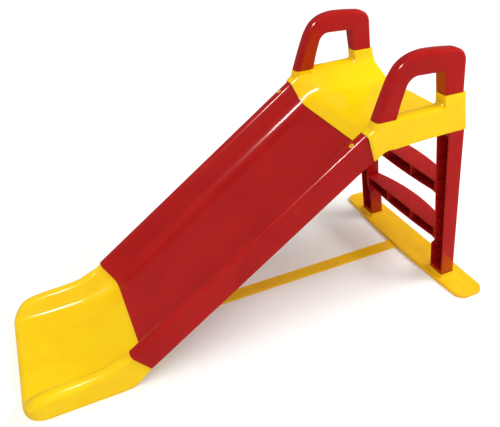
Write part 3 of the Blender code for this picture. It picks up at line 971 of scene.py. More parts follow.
@dataclass
class SlideBed(SubAssembly):
    """The red trough: floor, sloped side walls, flat wall tops and outer flanges."""

    rows: int = 44
    spans: tuple[int, ...] = (6, 4, 5, 26, 5, 4, 6)
    floor_edge: float = 0.1275
    floor_fade: float = 0.010
    recess_radius: float = 0.0066
    bore_radius: float = 0.0041

    def upper_run(self, y: float, depth: float) -> float:
        """How far up the slope the bed reaches: its floor ends under the platform's lip."""
        wall = BED.run + BED.end_shear * depth
        return lerp(BED.floor_run, wall, ease((abs(y) - self.floor_edge) / self.floor_fade))

    def build(self) -> None:
        """Builds the bed and its finish."""
        corners = [Vector(p) for p in mirrored(BED_HALF)]
        section = rounded(corners, both_ways(BED_RADII), self.spans, 8)
        rows = []
        for share in even(0.0, 1.0, self.rows):
            rows.append([BED.point(self.upper_run(*p) * share, *p) for p in section])
        bed = sheet("slide_bed_moulding", rows)
        thicken(bed)
        for side in Side:
            seat = BED.plug_seat(side)
            recess = drum("recess", seat, BED.normal, 0.0, 0.010, self.recess_radius)
            fuse(bed, recess, Fusion.CARVE)
            bore = drum("bore", seat, BED.normal, -0.020, 0.002, self.bore_radius)
            fuse(bed, bore, Fusion.CARVE)
        self.complete(bed, RED_GLOSS, "slide_bed", (0.0008, 50.0), 34.0)


@dataclass
class BedPlugs(SubAssembly):
    """The round plugs in the bed's wall tops, and the nuts that hold them from below."""

    radius: float = 0.0061
    well: float = 0.0027
    cross: tuple[float, float, float] = (0.0040, 0.0008, 0.0024)
    cross_height: float = 0.0008

    def plug(self, side: Side) -> None:
        """Builds one plug: a domed collar round a shallow well with a cross driven in it.

        Args:
            side: The wall that it is in.
        """
        profile = [
            (-0.0190, 0.0),
            (-0.0190, 0.0028),
            (-0.0176, 0.0036),
            (0.0003, 0.0036),
            (0.0003, self.radius),
            (0.0013, self.radius),
            (0.0019, self.radius - 0.0004),
            (0.0023, self.radius - 0.0011),
            (0.0025, self.well + 0.0006),
            (0.0022, self.well + 0.0001),
            (0.0008, self.well - 0.0002),
            (0.0008, 0.0),
        ]
        seat = BED.plug_seat(side)
        plug = turned("bed_plug_cap_" + side.label, profile, seat, BED.normal)
        for turn in (0.0, math.pi / 2):
            self.slot_cut(plug, seat, turn)
        shade(plug, 40.0)
        self.stand_for(plug, PLUG_GLOSS, "bed_plug_" + side.label)

    def slot_cut(self, plug: bpy.types.Object, seat: Vector, turn: float) -> None:
        """Cuts one arm of the cross.

        Args:
            plug: The plug.
            seat: Where its collar rests.
            turn: How far the arm is turned round the plug's axis.
        """
        bm = bmesh.new()
        bmesh.ops.create_cube(bm, size=1.0)
        bmesh.ops.scale(bm, vec=self.cross, verts=bm.verts[:])
        way = Vector((0, 0, 1)).rotation_difference(BED.normal).to_matrix().to_4x4()
        place = Matrix.Translation(seat + BED.normal * self.cross_height)
        place = place @ way @ Matrix.Rotation(turn, 4, "Z")
        bmesh.ops.transform(bm, matrix=place, verts=bm.verts[:])
        fuse(plug, mesh_object("cross", bm), Fusion.CARVE)

    def nut(self, side: Side) -> None:
        """Builds one hexagonal nut with chamfered corners.

        Args:
            side: The wall that it is under.
        """
        seat = BED.plug_seat(side)
        profile = [(-0.0152, 0.0), (-0.0152, 0.0070), (-0.0147, 0.0078), (-0.0097, 0.0078)]
        profile += [(-0.0092, 0.0070), (-0.0092, 0.0)]
        nut = turned("bed_nut_hex_" + side.label, profile, seat, BED.normal, 6)
        fuse(nut, drum("thread", seat, BED.normal, -0.03, 0.01, 0.0040), Fusion.CARVE)
        shade(nut, 20.0)
        self.stand_for(nut, RED_GLOSS, "bed_nut_" + side.label)

    def build(self) -> None:
        """Builds both plugs and both nuts."""
        for side in Side:
            self.plug(side)
            self.nut(side)


# ------------------------------------------------------------------ foot scoop


@dataclass
class FootScoop(SubAssembly):
    """The yellow run-out: flat floor, rolled front lip, rounded front corners and swept rims."""

    corner: float = 0.055
    half_y: float = 0.1970
    crease_y: float = 0.1390
    floor: Curve = Curve(
        (
            (0.000, 0.0085),
            (0.0012, 0.0130),
            (0.006, 0.0190),
            (0.016, 0.0250),
            (0.034, 0.0275),
            (0.100, 0.0275),
            (0.160, 0.0290),
            (0.200, 0.0325),
            (0.235, 0.0400),
        )
    )
    rim: Curve = Curve(
        (
            (0.000, 0.0088),
            (0.0012, 0.0140),
            (0.006, 0.0220),
            (0.016, 0.0325),
            (0.034, 0.0450),
            (0.060, 0.0548),
            (0.100, 0.0600),
            (0.160, 0.0635),
            (0.200, 0.0690),
            (0.235, 0.0840),
        )
    )
    runs: tuple[float, ...] = (-0.014, 0.012, 0.046)
    skirt: Pair = (-0.039, -0.083)
    lined_radii: tuple[float, ...] = (0.0439, 0.0066, 0.0066)
    crest_share: float = 0.52
    full_rise: float = 0.018
    crest_lift: float = 0.0105
    edge_lift: float = 0.0055
    spans: tuple[int, ...] = (5, 3, 7, 22, 7, 3, 5)

    def half_width(self, x: float) -> float:
        """Half the foot's width at a station; the front corners are round."""
        reach = max(0.0, self.corner - x)
        return self.half_y - self.corner + math.sqrt(self.corner**2 - reach**2)

    def level_keys(self, x: float, drop: float = 1.0) -> tuple[list[Vector], list[float]]:
        """Corners and radii of the section at a station.

        Args:
            x: The station.
            drop: Share of the full height, under 1 for the rows of the front lip.

        Returns:
            The corners from -Y to +Y, and the radii of the inner ones.
        """
        wide = self.half_width(x)
        floor, rim = self.floor.at(x) * drop, self.rim.at(x) * drop
        crease = min(self.crease_y, wide - 0.040)
        shoulder = lerp(crease, wide, self.crest_share)
        share = min(1.0, (rim - floor) / self.full_rise)
        peak, edge = rim + self.crest_lift * share, rim + self.edge_lift * share
        half = [(crease, floor), (shoulder, peak), (wide, edge), (wide + 0.0006, 0.0)]
        radii = [0.004 + 0.024 * share, 0.003 + 0.015 * share, 0.003 + 0.012 * share]
        return [at(x, y, z) for y, z in mirrored(half)], both_ways(radii)

    def sloped_keys(self, run: float) -> tuple[list[Vector], list[float]]:
        """Corners and radii of a section that lines the underside of the bed.

        Args:
            run: How far up the slope it is.

        Returns:
            The corners from -Y to +Y, and the radii of the inner ones.
        """
        lined = offset_line(mirrored(BED_HALF), WALL + GAP)
        corners = [BED.point(run, y, depth) for y, depth in lined]
        if run == self.runs[0]:
            for k, sign in ((0, -1.0), (-1, 1.0)):
                corners[k] = BED.point(self.skirt[0], sign * self.half_y, self.skirt[1])
        return corners, both_ways(self.lined_radii)

    def rows(self) -> list[list[Vector]]:
        """Every row of the foot's upper face, from the lip's lower edge to the tongue's end.

        Returns:
            The rows.
        """
        places = [(0.0, drop) for drop in (0.0, 0.35, 0.7)]
        places += [(self.corner * (1.0 - math.cos(math.pi / 2 * k / 18)), 1.0) for k in range(19)]
        places += [(x, 1.0) for x in even(self.corner, 0.200, 19)[1:]]
        made = [rounded(*self.level_keys(*place), self.spans, 7) for place in places]
        keys = [self.level_keys(x) for x in (0.160, 0.200, 0.235)]
        keys += [self.sloped_keys(run) for run in self.runs]
        knots = lengths([corners[3] for corners, _ in keys])
        times = even(knots[1], knots[-1], 29)[1:]
        for time, corners in zip(times, sections([key[0] for key in keys], knots, times)):
            share = ease((time - knots[2]) / (knots[3] - knots[2]))
            radii = [lerp(a, b, share) for a, b in zip(keys[2][1], keys[3][1])]
            made.append(rounded(corners, radii, self.spans, 7))
        return made

    def build(self) -> None:
        """Builds the foot and its finish."""
        foot = sheet("foot_scoop_moulding", self.rows())
        thicken(foot)
        self.complete(foot, YELLOW_GLOSS, "foot_scoop", (0.0008, 55.0), 40.0)


# ------------------------------------------------------------------ handles


@dataclass
class HandleShape:
    """The outline of an arched handle, and its solid grown by a clearance."""

    mid_y: float = 0.1910
    half_y: float = 0.0150
    outer_round: float = 0.0120
    inner_round: float = 0.0013
    shoulder: float = 0.0026
    seam: float = 0.0004
    pairs: tuple[tuple[Pair, Pair], ...] = (
        ((0.9505, 0.5560), (0.8982, 0.5560)),
        ((0.9560, 0.5870), (0.9072, 0.5870)),
        ((0.9630, 0.6280), (0.9200, 0.6320)),
        ((0.9690, 0.6520), (0.9290, 0.6600)),
        ((0.9770, 0.6710), (0.9400, 0.6880)),
        ((0.9870, 0.6810), (0.9560, 0.7110)),
        ((1.0010, 0.6855), (0.9800, 0.7255)),
        ((1.0200, 0.6860), (1.0100, 0.7320)),
        ((1.0500, 0.6850), (1.0500, 0.7315)),
        ((1.0800, 0.6840), (1.0850, 0.7285)),
        ((1.0800, 0.6840), (1.1080, 0.7250)),
        ((1.0800, 0.6840), (1.1250, 0.7160)),
        ((1.0800, 0.6840), (1.1345, 0.7020)),
        ((1.0800, 0.6840), (1.1380, 0.6840)),
        ((1.0950, 0.6190), (1.1495, 0.6190)),
        ((1.1100, 0.5560), (1.1615, 0.5560)),
    )

    opening: tuple[Pair, ...] = (
        (0.9505, 0.5560),
        (0.9618, 0.6250),
        (0.9765, 0.6862),
        (1.0800, 0.6840),
        (1.1100, 0.5560),
    )

    def inner_track(self) -> Track:
        """The line round the opening: a leg, a round corner, the grip and a square corner."""
        corners = [Vector(c) for c in self.opening]
        return Track(rounded(corners, (0.15, 0.032, 0.0), (20, 10, 40, 40), 14))

    def lines(self, pieces: int) -> tuple[list[Vector], list[Vector]]:
        """Matching points of the inner and the outer line.

        Args:
            pieces: How many pieces lie between two pairs of the table.

        Returns:
            The inner points and the outer points.
        """
        outer = [Vector(pair[1]) for pair in self.pairs]
        knots = lengths(outer)
        times = []
        for a, b in zip(knots, knots[1:]):
            times.extend(lerp(a, b, k / pieces) for k in range(pieces))
        times.append(knots[-1])
        track = self.inner_track()
        marks = [track.mark_near(Vector(pair[0])) for pair in self.pairs]
        reading = Curve(tuple(zip(knots, marks)))
        inner = [track.at(reading.at(time)) for time in times]
        return inner, flowing(outer, knots, times)

    def ring(self, a: Vector, b: Vector, side: Side, grow: float, lift: float) -> list[Vector]:
        """One section of the bar, its inner edges crisp and its outer edges round.

        Args:
            a: The section's point on the inner line.
            b: Its point on the outer line.
            side: Which side the handle stands on.
            grow: How much wider the bar is all round.
            lift: How much higher the section is.

        Returns:
            A closed line.
        """
        half = self.half_y + grow
        way = (b - a).normalized()
        a, b = a - way * grow, b + way * grow
        corners = []
        for p, y in ((a, -half), (a, half), (b, half), (b, -half)):
            corners.append(at(p.x, side.value * self.mid_y + y, p.y + lift))
        radii = (self.inner_round, self.inner_round, self.outer_round, self.outer_round)
        return rounded(corners, radii, (5, 5, 2, 5), 7, closed=True)

    def leg_hole(self, name: str, side: Side, grow: float) -> bpy.types.Object:
        """The handle with a clearance all round, to carve the sockets with.

        Args:
            name: The object's name.
            side: Which side it stands on.
            grow: The clearance.

        Returns:
            The solid.
        """
        rows = []
        inner, outer = self.lines(3)
        for k, (a, b) in enumerate(zip(inner, outer)):
            down = -grow if k in (0, len(inner) - 1) else 0.0
            rows.append(self.ring(a, b, side, grow, down))
        return block(name, rows)

    def solid(self, name: str, side: Side, pieces: int = 5) -> bpy.types.Object:
        """The handle as a closed solid whose legs step in where they enter the sockets.

        Args:
            name: The object's name.
            side: Which side it stands on.
            pieces: How fine it is along its line.

        Returns:
            The solid.
        """
        inner, outer = self.lines(pieces)
        last = len(inner) - 1
        rows = []
        for k, (a, b) in enumerate(zip(inner, outer)):
            if k in (pieces, last - pieces):
                shoulder = self.ring(a, b, side, self.shoulder, self.seam)
                step = [shoulder, self.ring(a, b, side, 0.0, self.seam)]
                rows.extend(reversed(step) if k == pieces else step)
            else:
                inside = k < pieces or k > last - pieces
                rows.append(self.ring(a, b, side, 0.0 if inside else self.shoulder, 0.0))
        return block(name, rows)


@dataclass
class Handles(SubAssembly):
    """The two arched handles."""

    shape: HandleShape = field(default_factory=HandleShape)

    def build(self) -> None:
        """Builds both handles."""
        for side in Side:
            handle = self.shape.solid("handle_arch_" + side.label, side)
            shade(handle, 38.0)
            self.stand_for(handle, RED_GLOSS, "handle_" + side.label)


# ------------------------------------------------------------------ platform


@dataclass(frozen=True)
class Collar:
    """A socket that stands up round a handle's leg."""

    bottom: tuple[float, float, float]
    top: tuple[float, float, float]
    wall: float
    front_round: float
    rear_round: float
    flare: float

    def ends(self, z: float) -> tuple[float, float]:
        """Its two stations at a height."""
        share = (z - self.bottom[0]) / (self.top[0] - self.bottom[0])
        return lerp(self.bottom[1], self.top[1], share), lerp(self.bottom[2], self.top[2], share)


@dataclass
class Platform(SubAssembly):
    """The yellow seat: a trough with swept walls, four sockets and a lip over the bed."""

    shape: HandleShape = field(default_factory=HandleShape)
    half_y: float = 0.2090
    lip_run: float = 0.748
    rear_x: float = 1.151
    rear_z: float = 0.619
    lean: float = 0.27
    front_half: tuple[Pair, ...] = (
        (0.1375, -0.0550),
        (0.1738, 0.0),
        (0.2090, 0.0),
        (0.2090, -0.0700),
    )
    rear_half: tuple[Pair, ...] = (
        (0.1080, 0.5415),
        (0.1900, 0.5968),
        (0.2090, 0.5900),
        (0.2090, 0.5195),
    )
    falls: tuple[float, ...] = (0.0040, 0.0032, 0.0032, 0.0060)
    front_radii: tuple[float, ...] = (0.0361, 0.0110, 0.0105)
    rear_radii: tuple[float, ...] = (0.0600, 0.0160, 0.0134)
    spans: tuple[int, ...] = (7, 4, 16, 20, 16, 4, 7)
    front_return: tuple[float, ...] = (0.0036, 0.0013, 0.0003)
    return_from: float = 0.1950
    return_wide: float = 0.0120
    crest_end: float = 0.2085
    crest_fade: float = 0.006
    levels: tuple[Pair, ...] = ((0.185, 1.5), (0.140, 1.0), (0.070, 0.5), (0.0, 0.0))
    front_collar: Collar = Collar(
        (0.5480, 0.8962, 0.9560), (0.5870, 0.9032, 0.9600), 0.0034, 0.0135, 0.0030, 0.010
    )
    rear_collar: Collar = Collar(
        (0.5170, 1.1135, 1.1795), (0.6190, 1.0910, 1.1535), 0.0032, 0.0026, 0.0026, 0.013
    )

    def front_keys(self, shift: float) -> list[Vector]:
        """Corners of a section parallel to the bed's upper end, its floor lapped over the bed.

        Args:
            shift: How far up the slope from the lip it is.

        Returns:
            The corners from -Y to +Y.
        """
        corners = []
        for y, depth in mirrored(self.front_half):
            if abs(y) < 0.14:
                corners.append(BED.point(self.lip_run + shift, y, depth + WALL + GAP))
            else:
                run = BED.run + 0.0006 + shift + BED.end_shear * depth
                corners.append(BED.point(run, y, depth))
        return corners

    def level_keys(self, back: float, drop: float) -> list[Vector]:
        """Corners of a section that leans with the ladder.

        Args:
            back: How far in front of the rear edge it is.
            drop: How many times its falls the section lies lower.

        Returns:
            The corners from -Y to +Y.
        """
        half = [(y, z - drop * fall) for (y, z), fall in zip(self.rear_half, self.falls)]
        lean = 1.0 - 0.8 * min(1.0, back / 0.19)
        corners = []
        for y, z in mirrored(half):
            corners.append(at(self.rear_x + self.lean * lean * (self.rear_z - z) - back, y, z))
        return corners

    def collar_lift(self, p: Vector) -> float:
        """How far the wall's crest sweeps up towards the sockets.

        Args:
            p: A point of the crest.

        Returns:
            The lift at that point.
        """
        lift = 0.0
        station, y = p.x + LENGTH / 2, abs(p.y)
        for collar in (self.front_collar, self.rear_collar):
            low, high = collar.ends(p.z)
            inner = self.shape.mid_y - self.shape.half_y - collar.wall
            outer = self.shape.mid_y + self.shape.half_y + collar.wall
            dx = max(low - station, station - high, 0.0)
            dy = max(inner - y, y - outer, 0.0)
            away = collar.flare - math.hypot(dx, dy)
            if away > 0:
                lift = max(lift, collar.flare - math.sqrt(collar.flare**2 - away**2))
        return lift * ease((self.crest_end - y) / self.crest_fade)

    def rows(self) -> list[list[Vector]]:
        """Every row of the upper face, from the lip to the rear edge.

        Returns:
            The rows.
        """
        keys = [self.front_keys(0.0), self.front_keys(0.030)]
        keys += [self.level_keys(*level) for level in self.levels]
        knots = lengths([key[3] for key in keys])
        times = even(0.0, knots[-1], 96)
        made = []
        for j, corners in enumerate(sections(keys, knots, times)):
            share = ease((times[j] - knots[1] * 0.5) / (knots[3] - knots[1] * 0.5))
            radii = [lerp(a, b, share) for a, b in zip(self.front_radii, self.rear_radii)]
            row = rounded(corners, both_ways(radii), self.spans, 9)
            turn_in = self.front_return[j] if j < len(self.front_return) else 0.0
            for p in row:
                share = ease((abs(p.y) - self.return_from) / self.return_wide)
                p.y -= math.copysign(turn_in * share, p.y)
            made.append(row)
        return made

    def sweep(
        self, rows: Sequence[Sequence[Vector]], side: Side, collar: Collar
    ) -> bpy.types.Object:
        """The concave sweep between the wall's crest and one socket, as a thin solid.

        Args:
            rows: The platform's upper face.
            side: Which side it is on.
            collar: The socket that it runs up to.

        Returns:
            The solid, sunk into the wall where there is no sweep.
        """
        low = self.shape.mid_y - self.shape.half_y - collar.flare - 0.004
        rings = []
        for row in rows:
            kept = [p for p in row if low < side.value * p.y < 0.2078]
            middle = kept[len(kept) // 2].x + LENGTH / 2
            fore, aft = collar.ends(kept[len(kept) // 2].z)
            if not fore - collar.flare - 0.003 < middle < aft + collar.flare + 0.003:
                continue
            crest = [p + Vector((0, 0, self.collar_lift(p) - 0.0002)) for p in kept]
            sole = [p - Vector((0, 0, 0.0022)) for p in reversed(kept)]
            rings.append([*crest, *sole, crest[0].copy()])
        count = min(len(ring) for ring in rings)
        rings = [ring for ring in rings if len(ring) == count]
        return block("sweep", rings)

    def socket(self, name: str, side: Side, collar: Collar) -> bpy.types.Object:
        """One socket as a solid.

        Args:
            name: The object's name.
            side: Which side it is on.
            collar: The socket.

        Returns:
            The solid.
        """
        ys = side_ys(side, self.shape.mid_y - self.shape.half_y - collar.wall, self.half_y - 0.0002)
        levels = []
        for z in even(collar.bottom[0], collar.top[0], 6):
            levels.append((collar.ends(z), ys, z))
        fore, aft = collar.front_round, collar.rear_round
        return prism(name, levels, (fore, aft, aft, fore))

    def build(self) -> None:
        """Builds the platform and its finish."""
        rows = self.rows()
        seat = sheet("platform_moulding", rows)
        thicken(seat)
        for side in Side:
            for label, collar in (("front", self.front_collar), ("rear", self.rear_collar)):
                fuse(seat, self.sweep(rows, side, collar), Fusion.JOIN)
                fuse(seat, self.socket(label, side, collar), Fusion.JOIN)
            fuse(seat, self.shape.leg_hole("leg", side, 0.0006), Fusion.CARVE)
            fuse(seat, ladder_tenon("tenon", side, 0.0005), Fusion.CARVE)
        self.complete(seat, YELLOW_GLOSS, "platform", (0.0010, 50.0), 36.0)


# ------------------------------------------------------------------ ladder


@dataclass(frozen=True)
class LadderLean:
    """The leaning front and rear planes of the ladder."""

    front_x: float = 1.219
    rear_x: float = 1.264
    front_slope: float = 0.176
    rear_slope: float = 0.170
    outer_y: float = 0.2085

    def front(self, z: float) -> float:
        """The front plane's station at a height."""
        return self.front_x - self.front_slope * z

    def rear(self, z: float) -> float:
        """The rear plane's station at a height."""
        return self.rear_x - self.rear_slope * z


LADDER = LadderLean()


def ladder_tenon(name: str, side: Side, grow: float) -> bpy.types.Object:
    """The block on a post's top that stands in the platform's rear socket.

    Args:
        name: The object's name.
        side: Which side it is on.
        grow: The clearance all round.

    Returns:
        The solid.
    """
    ys = side_ys(side, LADDER.outer_y - 0.0335 - grow, LADDER.outer_y - 0.0040 + grow)
    levels = []
    for z in (0.505 - grow, 0.544 + grow):
        xs = (LADDER.front_x + 0.004 - 0.172 * z - grow, LADDER.rear_x - 0.0035 - 0.172 * z + grow)
        levels.append((xs, ys, z))
    return prism(name, levels, (0.001,) * 4)


@dataclass
class LadderPosts(SubAssembly):
    """The two leaning posts: channels that are open towards the slide, with low ribs inside."""

    bottom: float = 0.0080
    shoulder: float = 0.5170
    wall: float = 0.0036
    inner: tuple[Pair, ...] = (
        (0.008, 0.1565),
        (0.112, 0.1565),
        (0.118, 0.1580),
        (0.128, 0.1655),
        (0.134, 0.1688),
        (0.142, 0.1700),
        (0.4835, 0.1618),
        (0.4880, 0.1560),
        (0.4910, 0.1552),
        (0.5170, 0.1552),
    )
    rib_levels: tuple[float, ...] = (0.088, 0.153, 0.217, 0.282, 0.350, 0.418)
    rib_height: float = 0.0075
    rib_half: float = 0.0013
    channel: Pair = (0.032, 0.503)
    collar_start: float = 0.4835

    def inner_y(self, z: float) -> float:
        """The inner face's place across the slide.

        Args:
            z: The height to read it at.

        Returns:
            Its y on the +Y side.
        """
        for (z0, y0), (z1, y1) in zip(self.inner, self.inner[1:]):
            if z <= z1:
                return lerp(y0, y1, (z - z0) / (z1 - z0))
        return self.inner[-1][1]

    def shell(self, name: str, side: Side) -> bpy.types.Object:
        """The post's outside as a solid.

        Args:
            name: The object's name.
            side: Which side it stands on.

        Returns:
            The solid.
        """
        levels = []
        heights = sorted({z for z, _ in self.inner} | set(even(0.16, 0.47, 10)))
        for z in heights:
            ys = side_ys(side, self.inner_y(z), LADDER.outer_y)
            levels.append(((LADDER.front(z), LADDER.rear(z)), ys, z))
        return prism(name, levels, (0.0016, 0.0035, 0.0035, 0.0016))

    def hollow(self, side: Side, low: float, high: float, lift: float) -> bpy.types.Object:
        """The hollow of the channel between two levels.

        Args:
            side: Which side the post stands on.
            low: The lower level.
            high: The upper level.
            lift: How far its floor stays off the walls, as over the ribs.

        Returns:
            The solid to carve.
        """
        levels = []
        heights = [low, *[z for z, _ in self.inner[1:6] if low < z < high], high]
        for z in heights:
            inner = self.inner_y(min(z, self.collar_start)) + self.wall + lift
            ys = side_ys(side, inner, LADDER.outer_y - self.wall)
            levels.append(((LADDER.front(z) - 0.01, LADDER.rear(z) - self.wall - lift), ys, z))
        return prism("hollow", levels, (0.0005, 0.002, 0.002, 0.0005))

    def post(self, side: Side) -> None:
        """Builds one post.

        Args:
            side: Which side it stands on.
        """
        post = self.shell("ladder_post_channel_" + side.label, side)
        fuse(post, ladder_tenon("tenon", side, 0.0), Fusion.JOIN)
        fuse(post, self.hollow(side, *self.channel, self.rib_height), Fusion.CARVE)
        edges = [self.channel[0], *self.rib_levels, self.channel[1]]
        for low, high in zip(edges, edges[1:]):
            cell = self.hollow(side, low + self.rib_half, high - self.rib_half, 0.0)
            fuse(post, cell, Fusion.CARVE)
        self.complete(post, RED_GLOSS, "ladder_post_" + side.label, (0.0006, 50.0), 36.0)

    def build(self) -> None:
        """Builds both posts."""
        for side in Side:
            self.post(side)


@dataclass(frozen=True)
class StepSpec:
    """What sets one step apart: its name, its top's height and its half length."""

    name: str
    top: float
    end_y: float


@dataclass
class Steps(SubAssembly):
    """The two steps: flat treads with a bowed rear edge, open channels towards the slide."""

    specs: tuple[StepSpec, ...] = (
        StepSpec("step_lower", 0.180, 0.1676),
        StepSpec("step_upper", 0.346, 0.1640),
    )
    bulge: float = 0.027
    height: float = 0.036
    wall: float = 0.0032
    rib_y: float = 0.0580
    rib_half: float = 0.0012
    end_wall: float = 0.0015
    belly: float = 0.008
    swell: float = 0.010
    swell_wide: float = 0.012
    hollow_overrun: float = 0.010

    def limits(self, y: float, spec: StepSpec) -> tuple[float, float]:
        """Rear bulge and lowest level at one y."""
        share = 1.0 - min(1.0, abs(y) / spec.end_y) ** 2
        return self.bulge * share, spec.top - self.height - self.belly * share

    def outer_row(self, y: float, spec: StepSpec) -> list[Vector]:
        """The outside of the step at one y.

        Args:
            y: Where it is across the slide.
            spec: The step.

        Returns:
            A closed line.
        """
        bulge, low = self.limits(y, spec)
        near_end = (abs(y) - spec.end_y + self.swell_wide) / self.swell_wide
        swell = self.swell * ease(near_end) ** 2
        corners = [
            at(LADDER.front(spec.top), y, spec.top),
            at(LADDER.rear(spec.top) + bulge, y, spec.top),
            at(LADDER.rear(low) + bulge, y, low - swell * 0.4),
            at(LADDER.front(low), y, low - swell * 0.4),
        ]
        return rounded(corners, (0.0016, 0.0042, 0.0025, 0.0012), (6, 4, 6, 4), 5, closed=True)

    def hollow_row(self, y: float, spec: StepSpec) -> list[Vector]:
        """The hollow of the step at one y.

        Args:
            y: Where it is across the slide.
            spec: The step.

        Returns:
            A closed line.
        """
        bulge, low = self.limits(y, spec)
        low, high = low + self.wall, spec.top - self.wall
        corners = [
            at(LADDER.front(high) - self.hollow_overrun, y, high),
            at(LADDER.rear(high) + bulge - self.wall, y, high),
            at(LADDER.rear(low) + bulge - self.wall, y, low),
            at(LADDER.front(low) - self.hollow_overrun, y, low),
        ]
        return rounded(corners, (0.0005, 0.002, 0.002, 0.0005), (3, 3, 3, 3), 4, closed=True)

    def step(self, spec: StepSpec) -> None:
        """Builds one step.

        Args:
            spec: The step.
        """
        end = spec.end_y
        tread = block(spec.name + "_tread", [self.outer_row(y, spec) for y in even(-end, end, 57)])
        edges = (-end + self.end_wall, -self.rib_y, self.rib_y, end - self.end_wall)
        for low, high in zip(edges, edges[1:]):
            ys = even(low + self.rib_half, high - self.rib_half, 19)
            rows = [self.hollow_row(y, spec) for y in ys]
            fuse(tread, block("hollow", rows), Fusion.CARVE)
        # The step wears the lighter copy of the red, a painted sheen.
        self.complete(tread, RED_PAINTED_SHEEN, spec.name, (0.0005, 55.0), 36.0)

    def build(self) -> None:
        """Builds both steps."""
        for spec in self.specs:
            self.step(spec)


# ------------------------------------------------------------------ base plate and strap


@dataclass
class BasePlate(SubAssembly):
    """The yellow foot plate: a long dished plate with a raised rim and kerbs round the posts."""

    half_y: float = 0.306
    front_x: float = 1.192
    rear_x: float = 1.300
    top: float = 0.011
    radius: float = 0.032
    front_bow: float = 0.012
    rear_bow: float = 0.001
    profile: tuple[Pair, ...] = (
        (0.0020, 0.0),
        (0.0, 0.0012),
        (0.0, 0.0085),
        (0.0008, 0.0101),
        (0.0024, 0.0109),
        (0.0046, 0.0110),
        (0.0075, 0.0107),
        (0.0115, 0.0099),
        (0.0165, 0.0092),
        (0.0240, 0.0089),
    )
    kerb_ys: Pair = (0.1518, 0.2135)
    kerb_xs: Pair = (0.0045, 0.0050)
    kerb_top: float = 0.0205
    kerb_rows: tuple[Pair, ...] = (
        (0.0040, 0.0090),
        (0.0085, 0.0078),
        (0.0105, 0.0044),
        (0.0130, 0.0022),
        (0.0165, 0.0010),
    )

    def outline(self, inset: float, z: float) -> list[Vector]:
        """The plate's plan at one inset from its edge.

        Args:
            inset: How far inside the edge.
            z: The height of the line.

        Returns:
            A closed line, its first point repeated.
        """
        straight = self.half_y - self.radius
        fore, aft = self.front_x + inset, self.rear_x - inset
        curl = self.radius - inset
        sides = even(-straight, straight, 25)
        turns = [math.pi / 2 * k / 10 for k in range(1, 10)]
        near = self.front_x + self.front_bow + self.radius
        far = self.rear_x - self.rear_bow - self.radius
        line = [at(fore + self.front_bow * (y / straight) ** 2, y, z) for y in sides]
        for a in turns:
            line.append(at(near - curl * math.cos(a), straight + curl * math.sin(a), z))
        line += [at(x, straight + curl, z) for x in even(near, far, 5)]
        for a in turns:
            line.append(at(far + curl * math.sin(a), straight + curl * math.cos(a), z))
        line += [at(aft - self.rear_bow * (y / straight) ** 2, y, z) for y in reversed(sides)]
        for a in turns:
            line.append(at(far + curl * math.cos(a), -straight - curl * math.sin(a), z))
        line += [at(x, -straight - curl, z) for x in even(far, near, 5)]
        for a in turns:
            line.append(at(near - curl * math.sin(a), -straight - curl * math.cos(a), z))
        return [*line, line[0].copy()]

    def kerb(self, side: Side) -> bpy.types.Object:
        """The raised kerb round one post's foot, flared into the plate.

        Args:
            side: Which side it is on.

        Returns:
            The solid.
        """
        inner, outer = self.kerb_ys
        fore, aft = self.kerb_xs
        levels = []
        for height, flare in self.kerb_rows:
            xs = (LADDER.front(0.01) - fore - flare, LADDER.rear(0.01) + aft + flare)
            levels.append((xs, side_ys(side, inner - flare, outer + flare), height))
        xs = (LADDER.front(0.022) - fore, LADDER.rear(0.022) + aft)
        levels.append((xs, side_ys(side, inner, outer), self.kerb_top))
        return prism("kerb", levels, (0.0045,) * 4)

    def build(self) -> None:
        """Builds the plate and its finish."""
        plate = block("base_plate_moulding", [self.outline(*row) for row in self.profile])
        for side in Side:
            fuse(plate, self.kerb(side), Fusion.JOIN)
            ys = side_ys(side, 0.1565 - GAP, LADDER.outer_y + GAP)
            levels = []
            for z in (0.0076, 0.040):
                levels.append(((LADDER.front(z) - GAP, LADDER.rear(z) + GAP), ys, z))
            fuse(plate, prism("socket", levels, (0.0012,) * 4), Fusion.CARVE)
        slot = [((1.150, 1.2326), (-0.0196, 0.0196), z) for z in (-0.01, 0.0064)]
        fuse(plate, prism("strap slot", slot, (0.001,) * 4), Fusion.CARVE)
        self.complete(plate, AMBER_GLOSS, "base_plate", (0.0006, 50.0), 36.0)


@dataclass
class TieStrap(SubAssembly):
    """The flat strap from the base plate to the foot."""

    half_y: float = 0.0190
    top: float = 0.0060
    front_x: float = 0.236
    rear_x: float = 1.232
    lip: float = 0.0012

    def row(self, x: float) -> list[Vector]:
        """The strap's section: a shallow channel with a rolled edge each side.

        Args:
            x: Its station.

        Returns:
            A closed line.
        """
        end = min(x - self.front_x, self.rear_x - x)
        half = self.half_y - 0.008 * (1.0 - ease(end / 0.012))
        top, sunk = self.top, self.top - self.lip
        line = [(-half, 0.0), (half, 0.0), (half, top - 0.0010), (half - 0.0009, top)]
        line += [(half - 0.0026, top), (half - 0.0040, sunk), (-half + 0.0040, sunk)]
        line += [(-half + 0.0026, top), (-half + 0.0009, top), (-half, top - 0.0010), (-half, 0.0)]
        return [at(x, y, z) for y, z in line]

    def build(self) -> None:
        """Builds the strap and its finish."""
        places = [self.front_x + k * 0.002 for k in range(7)]
        places += even(self.front_x + 0.020, self.rear_x - 0.020, 60)
        places += [self.rear_x - k * 0.002 for k in reversed(range(7))]
        strap = block("tie_strap_moulding", [self.row(x) for x in places])
        self.complete(strap, AMBER_GLOSS, "tie_strap", (0.0004, 40.0), 36.0)


# ------------------------------------------------------------------ fasteners


